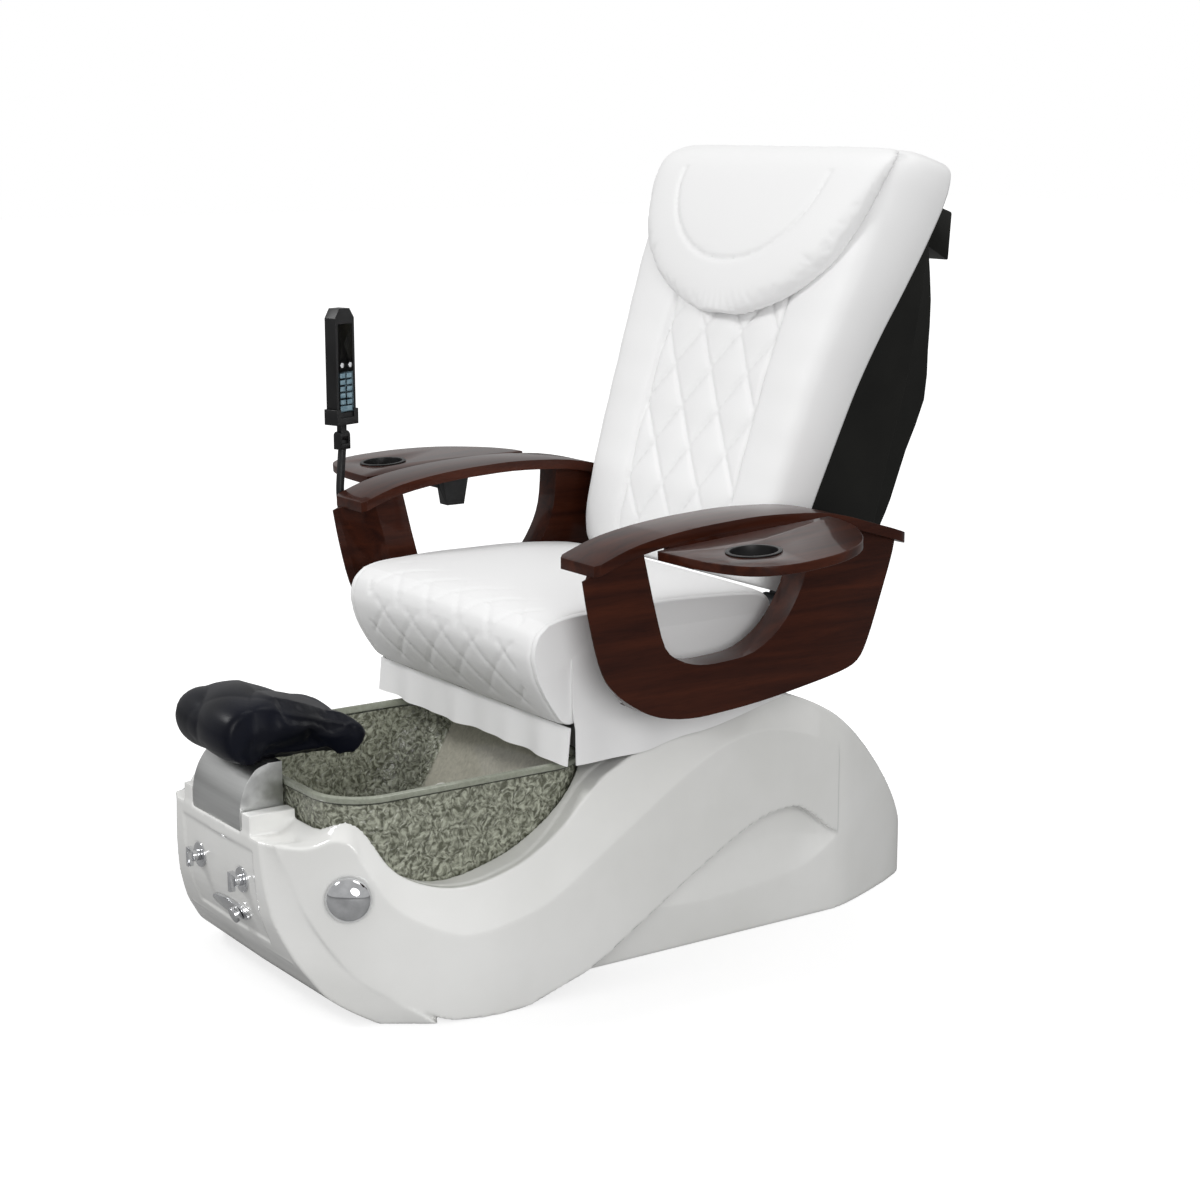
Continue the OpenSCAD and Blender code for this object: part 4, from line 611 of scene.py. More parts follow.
class CHAIR_OT_base(bpy.types.Operator):
    """Models the moulded base with its wave-shaped bands, its hollow and its rear panel"""
    bl_idname = "chair.base"
    bl_label = "Moulded base"

    def execute(self, context):
        sizes = context.scene.chair_sizes
        shell, *others = moulding_solids(0, 4.0)
        shell.name = shell.data.name = "base_moulding"
        carve(shell, others, "UNION")
        corners = [(side * RECESS_HALF, d) for side, d in ((-1, -20), (1, -20), (1, 5), (-1, 5))]
        recess = [[(x, fascia_y(z) + d, z) for x, d in corners]
                  for z in np.linspace(RECESS_LOW, RECESS_HIGH, 12)]
        knob, outwards = knob_seat()
        hole = outline(BOWL_HALF + 0.8, BOWL_Y0 - 0.8, BOWL_Y1 + 0.8, BOWL_CORNER)
        cutters = [prism("hole", hole, 104, 500),
                   box_piece("trough", (-RIB_IN, -525, TROUGH_H), (RIB_IN, -400, 400)),
                   loft("recess", recess), leaf_cutter(1), leaf_cutter(-1),
                   rod_piece("seat", knob, outwards, 40, 60)]
        cutters += [rod_piece("tap", (side * TAP_X, TAP_Y, TAP_Z), (0, 1, 0), 23,
                              TAP_WALL - TAP_Y) for side in (-1, 1)]
        carve(shell, cutters)
        modify(shell, "REMESH", mode="VOXEL", voxel_size=sizes.voxel)
        modify(shell, "SMOOTH", factor=0.5, iterations=3)
        hollow = joined(moulding_solids(sizes.shell / MM + 9, 30.0), "hollow")
        modify(hollow, "REMESH", mode="VOXEL", voxel_size=0.011)
        cutters = [hollow, box_piece("slot", (-20, -485, 262), (20, -424, 326)),
                   box_piece("pocket", (-32, -485, 262), (32, -423, 298))]
        for side in (-1, 1):
            for y in POST_PLACES:
                cutters.append(box_piece("post", (side * POST_X - POST_HALF, y - POST_HALF, 300),
                                         (side * POST_X + POST_HALF, y + POST_HALF, 500)))
            for name, y, z, radius, length in (("inlet", PIPE_Y, PIPE_Z, 11, 160),
                                               ("tap_hole", TAP_Y, TAP_Z, 9, 100)):
                cutters.append(rod_piece(name, (side * TAP_X, y, z), (0, 1, 0), radius, length))
        cutters.append(rod_piece("waste", (0, PIPE_Y, PIPE_Z), (0, 1, 0), 20.5, 160))
        cutters.append(rod_piece("spout", (40, 130, 290), (0, 0, 1), 11.4, 200))
        carve(shell, cutters)
        window = box_piece("window", (-PANEL_HALF, 680, PANEL_LOW), (PANEL_HALF, 1000, PANEL_HIGH))
        panel = shell.copy()
        panel.data = shell.data.copy()
        panel.name = panel.data.name = "service_panel"
        context.scene.collection.objects.link(panel)
        half = PANEL_HALF - PANEL_GAP
        door = box_piece("door", (-half, 680, PANEL_LOW + PANEL_GAP),
                         (half, 1000, PANEL_HIGH - PANEL_GAP))
        carve(panel, [door], "INTERSECT")
        carve(shell, [window])
        for piece, limit, node in ((shell, 185000, "base_shell"), (panel, 20000, "rear_panel")):
            triangles = sum(len(f.vertices) - 2 for f in piece.data.polygons)
            if triangles > limit:
                modify(piece, "DECIMATE", ratio=limit / triangles)
            smooth_shading(piece, 42)
            put(piece, "base", "polyester_gelcoat", [node])
        return {"FINISHED"}


def knob_seat():
    """Seat of the drain knob: a point on it and the way it points, in millimetres."""
    slope = (band_half(KNOB_Y + 10) - band_half(KNOB_Y - 10)) / 20
    turn = -math.atan(slope)
    way = Vector((math.cos(turn), math.sin(turn), 0))
    start = Vector((band_half(KNOB_Y), KNOB_Y, KNOB_Z)) - way * 3
    return tuple(start), tuple(way)


class CHAIR_OT_bowl(bpy.types.Operator):
    """Models the clear foot bowl with its rolled rim"""
    bl_idname = "chair.bowl"
    bl_label = "Foot bowl"

    def execute(self, context):
        wall = context.scene.chair_sizes.bowl_wall / MM
        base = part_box("bowl")[0].z / MM
        # height, front edge, rear edge, half width and corner radius of the outer face
        levels = [(base, -345, -90, 215, 80), (base + 4, -366, -68, 236, 88),
                  (base + 22, -388, -44, 256, 92), (base + 50, -398, -20, 266, 92),
                  (base + 110, -404, 27, 268, 90), (base + 200, -407, 80, 269.5, 90),
                  (base + 232, -409, 93, 269.5, 90), (BOWL_RIM - 16, -408, 93, 268.5, 90),
                  (BOWL_RIM - 12, -412, 98, 273, 93), (BOWL_RIM - 3, -413, 99, 274, 94),
                  (BOWL_RIM, -408, 94, 269, 89), (BOWL_RIM - 1, -404, 90, 265, 85),
                  (BOWL_RIM - 8, -402, 87, 262, 83)]
        inner = [(z + (wall if z < base + 60 else 0), y0 + wall,
                  y1 - wall - (4 if base < z < base + 210 else 0), w - wall, r - wall)
                 for z, y0, y1, w, r in levels[7::-1]]
        rings = [[(x, y, z) for x, y in outline(w, y0, y1, r)]
                 for z, y0, y1, w, r in levels + inner]
        bowl = loft("foot_bowl", rings)
        carve(bowl, [rod_piece("drain", (0, -200, base - 20), (0, 0, 1), 24, 60)])
        round_edges(bowl, 0.002, 2, 50, 60)
        put(bowl, "base", "crackled_acrylic", ["bowl"])
        return {"FINISHED"}


class CHAIR_OT_fittings(bpy.types.Operator):
    """Finishes the taps, the spray, the drain knob, the strainer and the spout"""
    bl_idname = "chair.fittings"
    bl_label = "Taps and fittings"

    def execute(self, context):
        for node in ("tap_plates", "hot_handle", "cold_handle", "spray_holder", "spray_head",
                     "drain_knob", "drain_strainer", "drain_plug", "fill_spout"):
            dressed_copy(node, "polished_chrome", context.scene.chair_sizes.metal_round)
        for node in ("jet_housing", "jet_impeller"):
            dressed_copy(node, "white_abs", 0.0008, 2)
        return {"FINISHED"}


# ---------------------------------------------------------------- footrest
PAD_SIDE = [(-262, 420), (-300, 414), (-360, 414.4), (-420, 414.4), (-480, 414.4), (-508, 421),
            (-524, 440), (-529, 468), (-520, 496), (-497, 514), (-466, 521), (-436, 519),
            (-405, 507), (-367, 494), (-300, 470), (-268, 458), (-254, 440)]
PAD_HALF, PAD_STEPS, PAD_FOOT = 100, 40, 416
PUFF_VOXEL, PUFF_PRESSURE, PUFF_FRAMES = 0.005, 3.0, 20


class CHAIR_OT_footrest(bpy.types.Operator):
    """Models the bent bracket and the wrinkled footrest pad"""
    bl_idname = "chair.footrest"
    bl_label = "Footrest"

    def execute(self, context):
        dressed_copy("footrest_bracket", "brushed_stainless", 0.0009, 2)
        side = smooth_line(PAD_SIDE + [PAD_SIDE[0]], 5)[:-1]
        rings = []
        for i in range(PAD_STEPS + 1):
            t = 2 * i / PAD_STEPS - 1
            x = PAD_HALF * math.sin(math.pi / 2 * t)
            full = (1 - min(1, abs(math.sin(math.pi / 2 * t))) ** 4) ** 0.45 if abs(t) < 1 else 0
            k = 0.74 + 0.22 * full
            ring = []
            for y, z in side:
                my, mz = (-470 if y < -430 else min(y, -285)), 468 - (max(y, -430) + 430) * 0.16
                ring.append((x, my + k * (y - my), max(mz + k * (z - mz), PAD_FOOT)))
            rings.append(ring)
        pad = loft("footrest_cushion", rings)
        puff(pad, cap=7.0)

        def wrinkle(p):
            x, y, z = p.T
            n = point_normals(pad)
            top = np.clip((z - 430) / 40, 0, 1)
            # broad folds run across the pad on the slant, where the cover is slack
            slant = y * 0.8 + x * 0.6 + 9 * np.sin(x / 31) + 6 * np.sin(y / 37)
            cross = y * 0.7 - x * 0.5 + 8 * np.sin(y / 29)
            folds = (5.0 * np.abs(np.sin(slant / 34)) ** 0.7
                     + 3.0 * np.abs(np.sin(cross / 47 + 1)) ** 0.7
                     + np.sin((x + y * 0.3) / 29) * 1.5 - 3.5)
            p = p + n * (folds * (0.35 + 0.65 * top))[:, None]
            p[:, 2] = np.where(p[:, 2] < PAD_FOOT, PAD_FOOT - 1.4, p[:, 2])
            # the hem hangs past the bracket's cheeks in uneven scallops
            hem = np.clip((436 - z) / 14, 0, 1) * np.clip((np.abs(x) - 91) / 4, 0, 1)
            p[:, 2] -= hem * (7 + 6 * np.sin(y / 13) + 3 * np.sin(y / 5.7 + 1))
            p[:, 0] += np.sign(x) * hem * 2.5
            return p

        move_points(pad, wrinkle)
        smooth_shading(pad, 80)
        put(pad, "footrest", "navy_leatherette", ["footrest_pad"])
        return {"FINISHED"}


def puff(piece, cap):
    """Swells a closed soft piece with a short cloth simulation, by at most cap millimetres."""
    modify(piece, "REMESH", mode="VOXEL", voxel_size=PUFF_VOXEL)
    before = read_points(piece)
    select(piece)
    cloth = piece.modifiers.new("Cloth", "CLOTH")
    cloth.settings.use_pressure = True
    cloth.settings.uniform_pressure_force = PUFF_PRESSURE
    cloth.settings.effector_weights.gravity = 0
    cloth.settings.quality = 5
    cloth.point_cache.frame_start = 1
    cloth.point_cache.frame_end = PUFF_FRAMES
    for number in range(1, PUFF_FRAMES + 1):
        bpy.context.scene.frame_set(number)
    bpy.ops.object.modifier_apply(modifier=cloth.name)
    bpy.context.scene.frame_set(1)
    move = read_points(piece) - before
    length = np.linalg.norm(move, axis=1, keepdims=True)
    move *= np.minimum(1, cap * MM / np.maximum(length, 1e-9))
    set_points(piece, before + move)


# ---------------------------------------------------------------- seat
NOSE = [(-34, 642), (0, 650), (60, 654), (150, 656), (260, 655), (360, 650), (425, 642),
        (444, 632), (450, 612), (446, 584), (436, 568), (300, 566), (150, 566), (34, 566),
        (24, 556), (22, 474), (14, 461), (-6, 468), (-26, 494), (-45, 526), (-58, 556), (-65, 590),
        (-56, 622)]
SEAT_HALF, SEAT_STEPS, SEAM_PITCH = 315, 120, 92
SKIRT_LOW = [(14, 392), (80, 392), (162, 396), (237, 409), (315, 417), (400, 436), (455, 448)]
SKIRT_THICK, FRONT_HALF, SIDE_Y0, SIDE_Y1 = 2.4, 321, 12, 455


class CHAIR_OT_seat(bpy.types.Operator):
    """Models the seat cushion with its rolled and sewn front"""
    bl_idname = "chair.seat"
    bl_label = "Seat cushion"

    def execute(self, context):
        line = smooth_line(NOSE + [NOSE[0]], 9)[:-1]
        rings = []
        for i in range(SEAT_STEPS + 1):
            t = 2 * i / SEAT_STEPS - 1
            s = math.sin(math.pi / 2 * t)
            full = (1 - min(1, abs(s)) ** 14) ** 0.36 if abs(s) < 1 else 0
            crown = 5 * math.cos(math.pi / 2 * t)
            pull = 0.9 + 0.1 * full
            ring = []
            for y, z in line:
                my, mz = (-20 if y < 30 else 220), (540 if z < 566 else 606)
                lift = crown if z > 600 else 0
                height = max(mz + pull * (z - mz), min(z, 561))
                ring.append((SEAT_HALF * s, my + pull * (y - my), height + lift - 5))
            rings.append(ring)
        seat = loft("seat_cushion_cover", rings)

        def sew(p):
            x, y, z = p.T
            n = point_normals(seat)
            depth = np.zeros(len(p))
            front = np.clip((60 - y) / 60, 0, 1) * np.clip((z - 470) / 20, 0, 1)
            # sewn channels run slantwise over the front roll
            girth = np.where(z > 600, y + 65, -(640 - z) + 20)
            for way in (-1, 1):
                u = (x * 0.9 + way * girth * 1.1 + 30) / SEAM_PITCH
                d = np.abs(u - np.round(u)) * SEAM_PITCH
                depth += 3.0 * crease(d, 4.0) * front * (np.abs(x) < 250)
            # boxing seam round each end of the cushion
            edge = np.abs(np.abs(x) - SEAT_HALF + 13)
            depth += 3.0 * crease(edge, 3.0)
            on_top = np.clip((z - 640) / 10, 0, 1)
            soft = 0.8 * np.sin(x / 41 + y / 57) * np.sin(y / 63 + 0.7) * on_top
            return p + n * (soft - depth)[:, None]

        move_points(seat, sew)
        smooth_shading(seat, 60)
        put(seat, "seat", "white_leatherette", ["seat_cushion"])
        return {"FINISHED"}


def sheet_piece(name, place, rows, columns):
    """Cloth through the points that place gives for v down and u across, each from 0 to 1."""
    points = [place(j / rows, i / columns) for j in range(rows + 1) for i in range(columns + 1)]
    piece = new_piece(name, points, ring_faces(rows + 1, columns + 1, closed=False))
    modify(piece, "SOLIDIFY", thickness=SKIRT_THICK * MM, offset=0.0)
    smooth_shading(piece, 60)
    return piece


class CHAIR_OT_skirts(bpy.types.Operator):
    """Models the leatherette skirts that hang round the seat"""
    bl_idname = "chair.skirts"
    bl_label = "Skirts"

    def execute(self, context):
        low = table(SKIRT_LOW)
        top = 456

        def front_place(v, u):
            x = FRONT_HALF * (2 * u - 1)
            wave = (1.6 * math.sin(math.radians(x * 2.3))
                    + 1.1 * math.sin(math.radians(x * 4.1 + 40)))
            hem = 392 + 2.0 * math.sin(x / 60)
            return x, 6 - 6 * v + (1 + 2 * v) * wave * 0.7, top + (hem - top) * v

        front = sheet_piece("front_skirt_sheet", front_place, 12, 160)
        put(front, "seat", "white_leatherette", ["front_skirt"])
        for side, word in ((1, "left"), (-1, "right")):
            def side_place(v, u):
                y = SIDE_Y0 + (SIDE_Y1 - SIDE_Y0) * u
                start = 604 - max(0, 60 - y) * 0.62
                z = start + (low(y) - start) * v
                # it lies on the cushion at its upper edge and steps out to the frame below
                inward = (9 * min(1, max(0, (z - 452) / 34))
                          + 3 * max(0, 1 - (start - z) / 30) ** 2)
                fold = 1.5 * math.sin(math.radians(y * 3.1)) + 1.1 * math.sin(y / 23 + 1)
                seam = 1.8 * math.exp(-abs(z - 470) / 3.0)
                return side * (326 - inward + fold * v ** 1.5 - seam), y, z

            skirt = sheet_piece(f"side_skirt_{word}_sheet", side_place, 36, 90)
            put(skirt, "seat", "white_leatherette", [f"side_skirt_{word}"])
        return {"FINISHED"}


# ---------------------------------------------------------------- arms and trays
class CHAIR_OT_arms(bpy.types.Operator):
    """Finishes the lacquered arm panels, caps and trays with rounded edges"""
    bl_idname = "chair.arms"
    bl_label = "Arms and trays"

    def execute(self, context):
        sizes = context.scene.chair_sizes
        for side in ("left", "right"):
            for part in ("arm_panel", "arm_cap", "tray"):
                dressed_copy(f"{part}_{side}", "lacquered_walnut",
                             sizes.wood_round * (0.8 if part == "tray" else 1.0), 4, 40)
            dressed_copy(f"tray_bracket_{side}", "black_abs", sizes.metal_round, 2)
            dressed_copy(f"tray_hinge_{side}", "satin_steel", 0.0005, 2)
            dressed_copy(f"cup_ring_{side}", "black_abs", 0.0008, 3)
        return {"FINISHED"}


# ---------------------------------------------------------------- back
LEAN, PIVOT_Y, PIVOT_Z = math.radians(18.5), 500, 600
BACK_TABLE = [(20, 278, -68, -22), (60, 290, -80, -20), (100, 294, -87, -18), (175, 299, -93, -14),
              (270, 306, -95, -9), (400, 315, -94, 0), (500, 328, -90, 10), (590, 341, -85, 24),
              (680, 347, -79, 42), (760, 347, -70, 58), (800, 344, -58, 62), (825, 337, -36, 62),
              (836, 323, -18, 60), (842, 303, -6, 58)]
back_half, back_front, back_rear = (table(BACK_TABLE, c) for c in (1, 2, 3))
PILLOW_LOW, PILLOW_TOP = 488, 832


def at_back(points):
    """Points given as (across, out of the back, up along it) to the leaning back's place."""
    x, n, h = np.asarray(points, float).T
    return np.stack([x, PIVOT_Y + n * math.cos(LEAN) + h * math.sin(LEAN),
                     PIVOT_Z - n * math.sin(LEAN) + h * math.cos(LEAN)], 1)


def off_back(points):
    """The other way round."""
    x, y, z = np.asarray(points, float).T
    dy, dz = y - PIVOT_Y, z - PIVOT_Z
    return np.stack([x, dy * math.cos(LEAN) - dz * math.sin(LEAN),
                     dy * math.sin(LEAN) + dz * math.cos(LEAN)], 1)


def padded_front(x, half, front, rear):
    """Front of the padding across the back: flat, with a full round at both sides."""
    s = np.minimum(1, np.abs(x / half))
    return rear - 6 - (rear - 6 - front) * (1 - s ** 26) ** 0.35


class CHAIR_OT_back(bpy.types.Operator):
    """Models the back cushion with its sewn diamonds and bolsters"""
    bl_idname = "chair.back"
    bl_label = "Back cushion"

    def execute(self, context):
        sizes = context.scene.chair_sizes
        a, b = sizes.diamond_w / MM, sizes.diamond_h / MM
        quilt = sizes.quilt / MM
        # points lie closer together towards both sides and both ends
        even, quarter = np.linspace(-1, 1, 161), math.pi / 2
        across = np.sin(even * quarter * 0.985) / math.sin(quarter * 0.985)
        across = 0.55 * across + 0.45 * even
        heights = np.concatenate([[20, 20.6, 22, 25, 29, 34], np.arange(39, 838, 4.5),
                                  [838, 840.5, 842]])
        rings = []
        for h in heights:
            half, front, rear = back_half(h), back_front(h), back_rear(h)
            round_off = math.sqrt(max(0, 1 - max(0, 1 - (h - 20) / 20) ** 2)) if h < 40 else 1
            front = rear - (rear - front) * (0.7 + 0.3 * round_off)
            x = -across * half
            n = padded_front(x, half, front, rear)
            u, v = x / a, (h - 89.5) / b
            lines = [np.abs((u + v + 1) % 2 - 1), np.abs((u - v + 1) % 2 - 1)]
            puffed = np.prod([1 - np.exp(-d / 0.07) for d in lines], axis=0)
            swell = np.prod([np.sin(np.pi / 2 * d) for d in lines], axis=0)
            past = np.abs(x) - 3 * a
            field = (past < 0) * np.clip((h - 60) / 10, 0, 1)
            n = n + field * quilt * (1 - 0.65 * puffed - 0.35 * swell)
            # bolsters on both sides of the sewn field
            n = n + 7 * crease(past, 4.0) * np.clip((h - 50) / 20, 0, 1)
            n = n - (past > 0) * 7 * np.sin(np.clip(past / (half - 3 * a), 0, 1) * np.pi) ** 0.7
            n = n + 0.7 * np.sin(h / 33 + x / 60) * np.sin(h / 21 - x / 90)
            ring = list(zip(x, n, np.full(len(x), h)))
            # hollow behind the padding, where the massage rollers run
            hollow = min(rear, -6) if h < 780 else rear
            ring += [(-half + 4, rear, h), (-262, rear, h)]
            ring += [(-260 + 65 * k, hollow, h) for k in range(9)]
            ring += [(262, rear, h), (half - 4, rear, h)]
            rings.append(at_back(ring))
        back = loft("back_cushion_cover", rings)
        smooth_shading(back, 60)
        put(back, "back", "white_leatherette", ["back_cushion"])
        return {"FINISHED"}


pillow_half = table([(488, 38), (500, 95), (515, 140), (537, 190), (570, 240), (610, 282),
                     (650, 305), (700, 325), (750, 337), (790, 340), (815, 330), (832, 305),
                     (842, 290)])


class CHAIR_OT_pillow(bpy.types.Operator):
    """Models the head pillow with its curved inner seam"""
    bl_idname = "chair.pillow"
    bl_label = "Pillow"

    def execute(self, context):
        rings = []
        rows = 60
        for i in range(rows + 1):
            t = i / rows
            h = PILLOW_LOW + 3 + (PILLOW_TOP - PILLOW_LOW - 6) * (1 - math.cos(math.pi * t)) / 2
            half, face = float(pillow_half(h)) - 4, float(back_front(h)) - 1.5
            rise = min(1, max(0, 0.06 + 0.86 * (h - PILLOW_LOW) / 346))
            deep = 12 + 32 * math.sin(math.pi * rise) ** 0.4
            ring = [(-half * 0.96, face, h), (0, face, h), (half * 0.96, face, h)]
            for j in range(81):
                x = half * math.cos(math.pi * j / 80)
                s = min(1, abs(x / half))
                ring.append((x, face - 3 - (deep - 3) * (0.62 * (1 - s ** 14) ** 0.4
                                                         + 0.38 * (1 - s * s) ** 0.7), h))
            rings.append(at_back(ring))
        pillow = loft("pillow_cover", rings)
        puff(pillow, cap=6.0)

        def sew(p):
            x, n, h = off_back(p).T
            # the inner panel ends in a wide arc
            arc = np.hypot(x / 215, (h - 775) / 184) - 1
            near = np.clip((h - 560) / 30, 0, 1) * (h < 772)
            groove = 5.0 * crease(arc * 198, 3.5) * (n < -70) * near
            rim = np.clip(1 - (h - PILLOW_LOW) / 60, 0, 1)
            pucker = 1.3 * np.sin(np.arctan2(x, 640 - h) * 46) * rim
            n = n + groove + pucker
            n = np.minimum(n, back_front(h) + 3)
            return at_back(np.stack([x, n, h], 1))

        move_points(pillow, sew)
        smooth_shading(pillow, 70)
        put(pillow, "back", "white_leatherette", ["pillow"])
        return {"FINISHED"}


class CHAIR_OT_shell(bpy.types.Operator):
    """Models the black shell behind the back cushion"""
    bl_idname = "chair.shell"
    bl_label = "Back shell"

    def execute(self, context):
        dressed_copy("back_shell", "satin_black_abs", 0.006, 4, 25)
        dressed_copy("rail_cover", "satin_black_abs", 0.004, 3, 30)
        return {"FINISHED"}


# ---------------------------------------------------------------- remote
class CHAIR_OT_remote(bpy.types.Operator):
    """Finishes the remote control, its cradle and its stalk"""
    bl_idname = "chair.remote"
    bl_label = "Remote control"

    def execute(self, context):
        radius = context.scene.chair_sizes.metal_round
        dressed_copy("remote_stalk", "black_abs", 0.0008, 2)
        dressed_copy("remote_cradle", "black_abs", 0.0012, 3)
        dressed_copy("remote_handset", "black_abs", 0.003, 4)
        dressed_copy("remote_screen", "grey_display", 0.0003, 2)
        dressed_copy("remote_keypad", "silicone_keypad", 0.0005, 3)
        for word in ("up", "down"):
            dressed_copy(f"remote_button_{word}", "polished_chrome", radius / 2, 3)
        return {"FINISHED"}


# ---------------------------------------------------------------- finishes and stage
HIDDEN_FINISHES = {
    "painted_steel": ("floor_frame", "seat_rails", "seat_frame", "back_frame"),
    "zinc_steel": ("arm_bolts",),
    "forged_brass": ("hot_valve", "cold_valve"),
    "hose_pvc": ("supply_hoses", "spout_hose"),
    "white_abs": ("drain_pipe",),
    "black_abs": ("jet_motor", "control_box", "seat_actuator", "massage_carriage",
                  "massage_rollers"),
}


class CHAIR_OT_finishes(bpy.types.Operator):
    """Makes the materials and gives the inner pieces theirs"""
    bl_idname = "chair.finishes"
    bl_label = "Finishes"

    def execute(self, context):
        colours = context.scene.chair_colours
        # sprayed polyester gelcoat: deep gloss over a faint ripple of the mould
        plain_finish("polyester_gelcoat", colours.gelcoat_dark, colours.gelcoat_light, 0.16,
                     patch_mm=240, grain_mm=14, relief_mm=0.10, spread=0.05, IOR=1.5,
                     Coat_Weight=0.6, Coat_Roughness=0.05)
        leatherette_finish("white_leatherette", colours.hide_dark, colours.hide_light, 0.46,
                           sheen=0.12, shine=0.4)
        leatherette_finish("navy_leatherette", colours.navy_dark, colours.navy_light, 0.36,
                           sheen=0.0, shine=0.16)
        lacquered_walnut("lacquered_walnut", colours)
        crackled_acrylic("crackled_acrylic", colours)
        # chrome plate on brass: a mirror with hairline wiping marks
        plain_finish("polished_chrome", "#C9CACC", "#E3E4E6", 0.08, patch_mm=18,
                     grain_mm=0.6, relief_mm=0.004, spread=0.03, Metallic=1.0)
        # stainless sheet brushed across: fine streaks widen its highlights
        plain_finish("brushed_stainless", "#C0C1C0", "#D2D3D2", 0.36, patch_mm=14,
                     grain_mm=0.7, relief_mm=0.02, stretch=(0.06, 1, 1), Metallic=1.0)
        plain_finish("satin_steel", "#8F9092", "#A8A9AB", 0.3, patch_mm=10,
                     relief_mm=0.01, Metallic=1.0)
        plain_finish("zinc_steel", "#9A9C9C", "#BDBFBD", 0.4, patch_mm=5, Metallic=1.0)
        plain_finish("forged_brass", "#A07F3E", "#C0A05A", 0.35, patch_mm=8, Metallic=1.0)
        # powder coat: a fine orange peel
        plain_finish("painted_steel", "#505256", "#64666A", 0.5, grain_mm=1.6,
                     relief_mm=0.08)
        plain_finish("white_abs", "#DCDCD6", "#E8E8E3", 0.38, IOR=1.53)
        plain_finish("hose_pvc", "#8E8E8B", "#A5A5A1", 0.45, patch_mm=20)
        # moulded ABS with a spark-eroded satin grain
        plain_finish("black_abs", "#0C0C0D", "#161617", 0.4, patch_mm=40,
                     grain_mm=0.7, relief_mm=0.05, Specular_IOR_Level=0.35)
        plain_finish("satin_black_abs", colours.shell_dark, colours.shell_light, 0.36, patch_mm=120,
                     grain_mm=1.2, relief_mm=0.05, Specular_IOR_Level=0.25)
        plain_finish("grey_display", "#4E4D3F", "#686656", 0.3, patch_mm=30,
                     relief_mm=0.0, Specular_IOR_Level=0.3)
        plain_finish("silicone_keypad", "#5C7A88", "#86A0AB", 0.5, patch_mm=9)
        for name, nodes in HIDDEN_FINISHES.items():
            for node in nodes:
                paint(frame["nodes"][node].data, name)
        return {"FINISHED"}


FLOOR_TONE, FLOOR_GLOW, FLOOR_SWEEP = "#A2A2A2", (0.74, 1.0), (0.7, 1.6)
ROOM_LIGHT = 0.54
# name, place, size in metres and power in watts
LAMPS = (("key", (-1.7, -2.4, 3.1), 1.0, 54.0), ("side", (3.3, -1.2, 1.5), 1.8, 44.0),
         ("top", (0.8, 1.4, 4.0), 2.0, 26.0))
LAMP_TARGET = Vector((0, 0.2, 0.7))
CAMERA_PLACE, CAMERA_AZIMUTH, CAMERA_PITCH = (3.416, -2.078, 1.454), 55.29, 11.78
CAMERA_LENS, CAMERA_FILM = 69.0, 36.0


def seen(tree):
    """Output that is 1 for rays from the camera, straight or through the bowl, and else 0."""
    rays = add_node(tree, "LightPath")
    return calc(tree, "MAXIMUM", (rays, "Is Camera Ray"), (rays, "Is Transmission Ray"))


def stand(name, data, place, way):
    """Puts a lamp or a camera at a place, turned to look along a direction."""
    o = bpy.data.objects.new(name, data)
    o.location = place
    o.rotation_euler = way.to_track_quat("-Z", "Y").to_euler()
    bpy.context.scene.collection.objects.link(o)
    return o


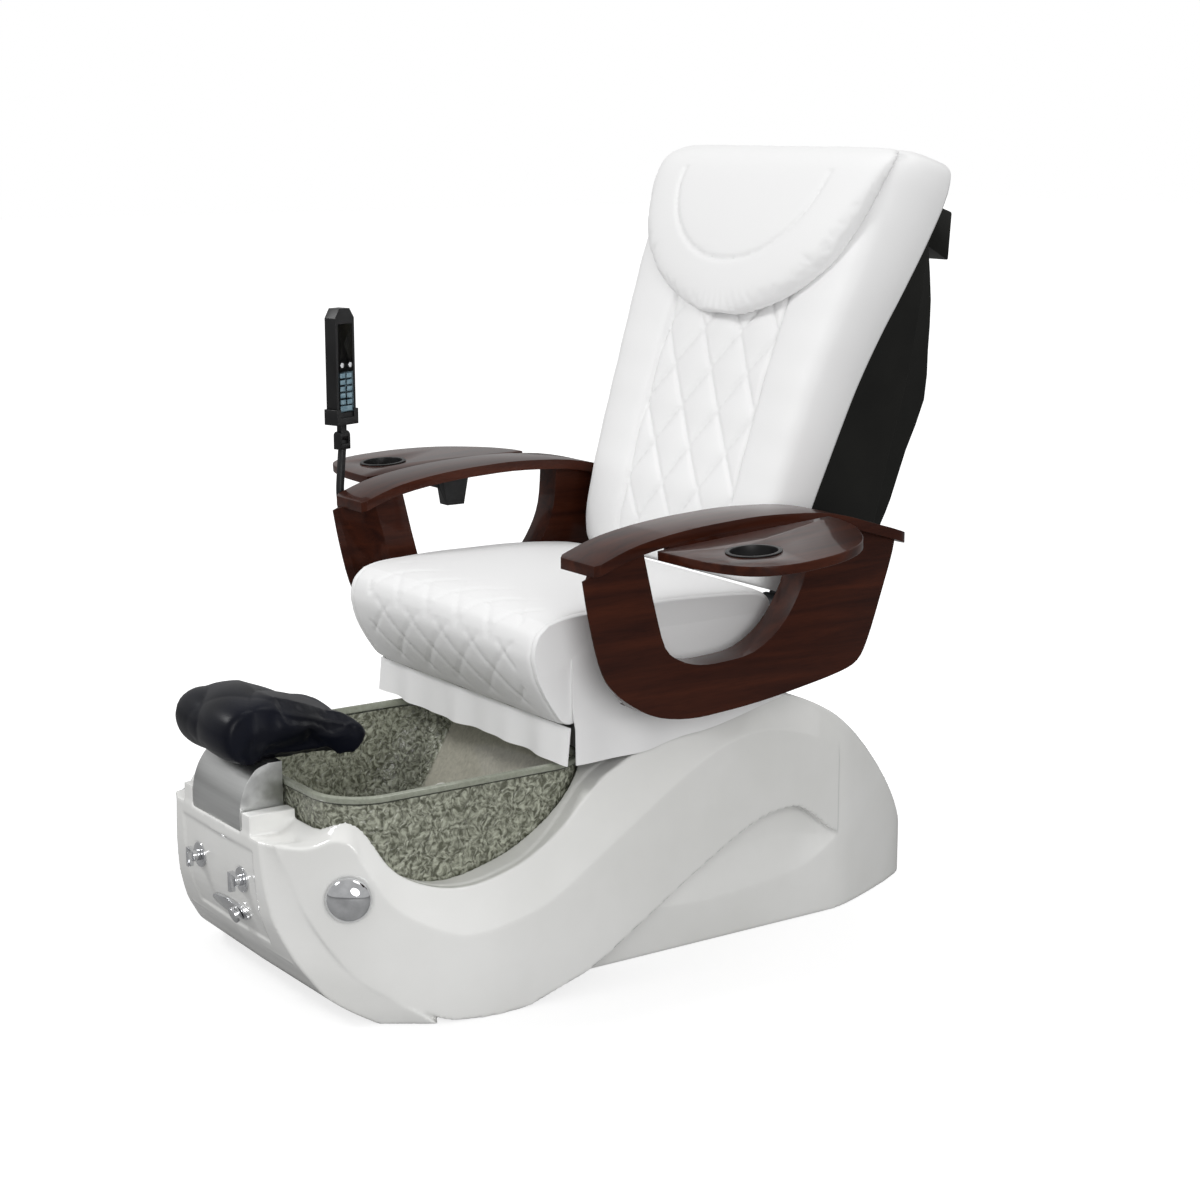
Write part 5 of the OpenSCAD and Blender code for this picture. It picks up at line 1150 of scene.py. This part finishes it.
class CHAIR_OT_stage(bpy.types.Operator):
    """Adds the pale floor, the soft lamps and the camera"""
    bl_idname = "chair.stage"
    bl_label = "Stage"

    def execute(self, context):
        scene = context.scene
        deselect()
        bpy.ops.mesh.primitive_plane_add(size=60.0, location=(0, 0, -0.0005))
        floor = settle("studio_floor")
        material = bpy.data.materials.new("matt_white_floor")
        tree = empty_tree(material)
        matt = add_node(tree, "BsdfDiffuse", {"Color": rgba(FLOOR_TONE)})
        # the paper sweep goes over into pure white away from the chair
        place = add_node(tree, "TexCoord"), "Object"
        far = add_node(tree, "VectorMath", {"operation": "LENGTH", 0: place}), "Value"
        lift = calc(tree, "MULTIPLY", seen(tree), remap(far, *FLOOR_GLOW, *FLOOR_SWEEP))
        glow = add_node(tree, "Emission", {"Color": (1, 1, 1, 1), "Strength": lift})
        both = add_node(tree, "AddShader", {0: (matt, 0), 1: (glow, 0)})
        add_node(tree, "OutputMaterial", {"Surface": (both, 0)})
        floor.data.materials.append(material)
        scene.world = bpy.data.worlds.new("studio")
        tree = empty_tree(scene.world)
        sky = add_node(tree, "Background", {"Color": (1, 1, 1, 1),
                                            "Strength": remap(seen(tree), ROOM_LIGHT, 1.0)})
        add_node(tree, "OutputWorld", {"Surface": (sky, "Background")})
        for name, place, size, power in LAMPS:
            lamp = bpy.data.lights.new(name, "AREA")
            lamp.shape, lamp.size, lamp.energy = "DISK", size, power
            stand(name, lamp, place, LAMP_TARGET - Vector(place))
        azimuth, pitch = math.radians(CAMERA_AZIMUTH), math.radians(CAMERA_PITCH)
        back = Vector((math.sin(azimuth) * math.cos(pitch), -math.cos(azimuth) * math.cos(pitch),
                       math.sin(pitch)))
        lens = bpy.data.cameras.new("camera")
        lens.lens, lens.sensor_width = CAMERA_LENS, CAMERA_FILM
        scene.camera = stand("camera", lens, CAMERA_PLACE, -back)
        scene.view_settings.view_transform = "Standard"
        return {"FINISHED"}


OPERATORS = (CHAIR_OT_finishes, CHAIR_OT_stage, CHAIR_OT_base, CHAIR_OT_bowl, CHAIR_OT_fittings,
             CHAIR_OT_footrest, CHAIR_OT_seat, CHAIR_OT_skirts, CHAIR_OT_arms, CHAIR_OT_back,
             CHAIR_OT_pillow, CHAIR_OT_shell, CHAIR_OT_remote)


class CHAIR_PT_panel(bpy.types.Panel):
    """Lists the steps that build the chair"""
    bl_label = "Spa chair"
    bl_idname = "CHAIR_PT_panel"
    bl_space_type = "VIEW_3D"
    bl_region_type = "UI"
    bl_category = "Spa chair"

    def draw(self, context):
        for operator in OPERATORS:
            self.layout.operator(operator.bl_idname)
        for group in (context.scene.chair_sizes, context.scene.chair_colours):
            for name in group.bl_rna.properties.keys():
                if name not in ("rna_type", "name"):
                    self.layout.prop(group, name)


CLASSES = (ChairSizes, ChairColours, *OPERATORS, CHAIR_PT_panel)


def register():
    for cls in CLASSES:
        bpy.utils.register_class(cls)
    bpy.types.Scene.chair_sizes = bpy.props.PointerProperty(type=ChairSizes)
    bpy.types.Scene.chair_colours = bpy.props.PointerProperty(type=ChairColours)


def unregister():
    del bpy.types.Scene.chair_colours
    del bpy.types.Scene.chair_sizes
    for cls in reversed(CLASSES):
        bpy.utils.unregister_class(cls)


def main():
    register()
    for operator in OPERATORS:
        group, name = operator.bl_idname.split(".")
        getattr(getattr(bpy.ops, group), name)()


if __name__ == "__main__":
    main()
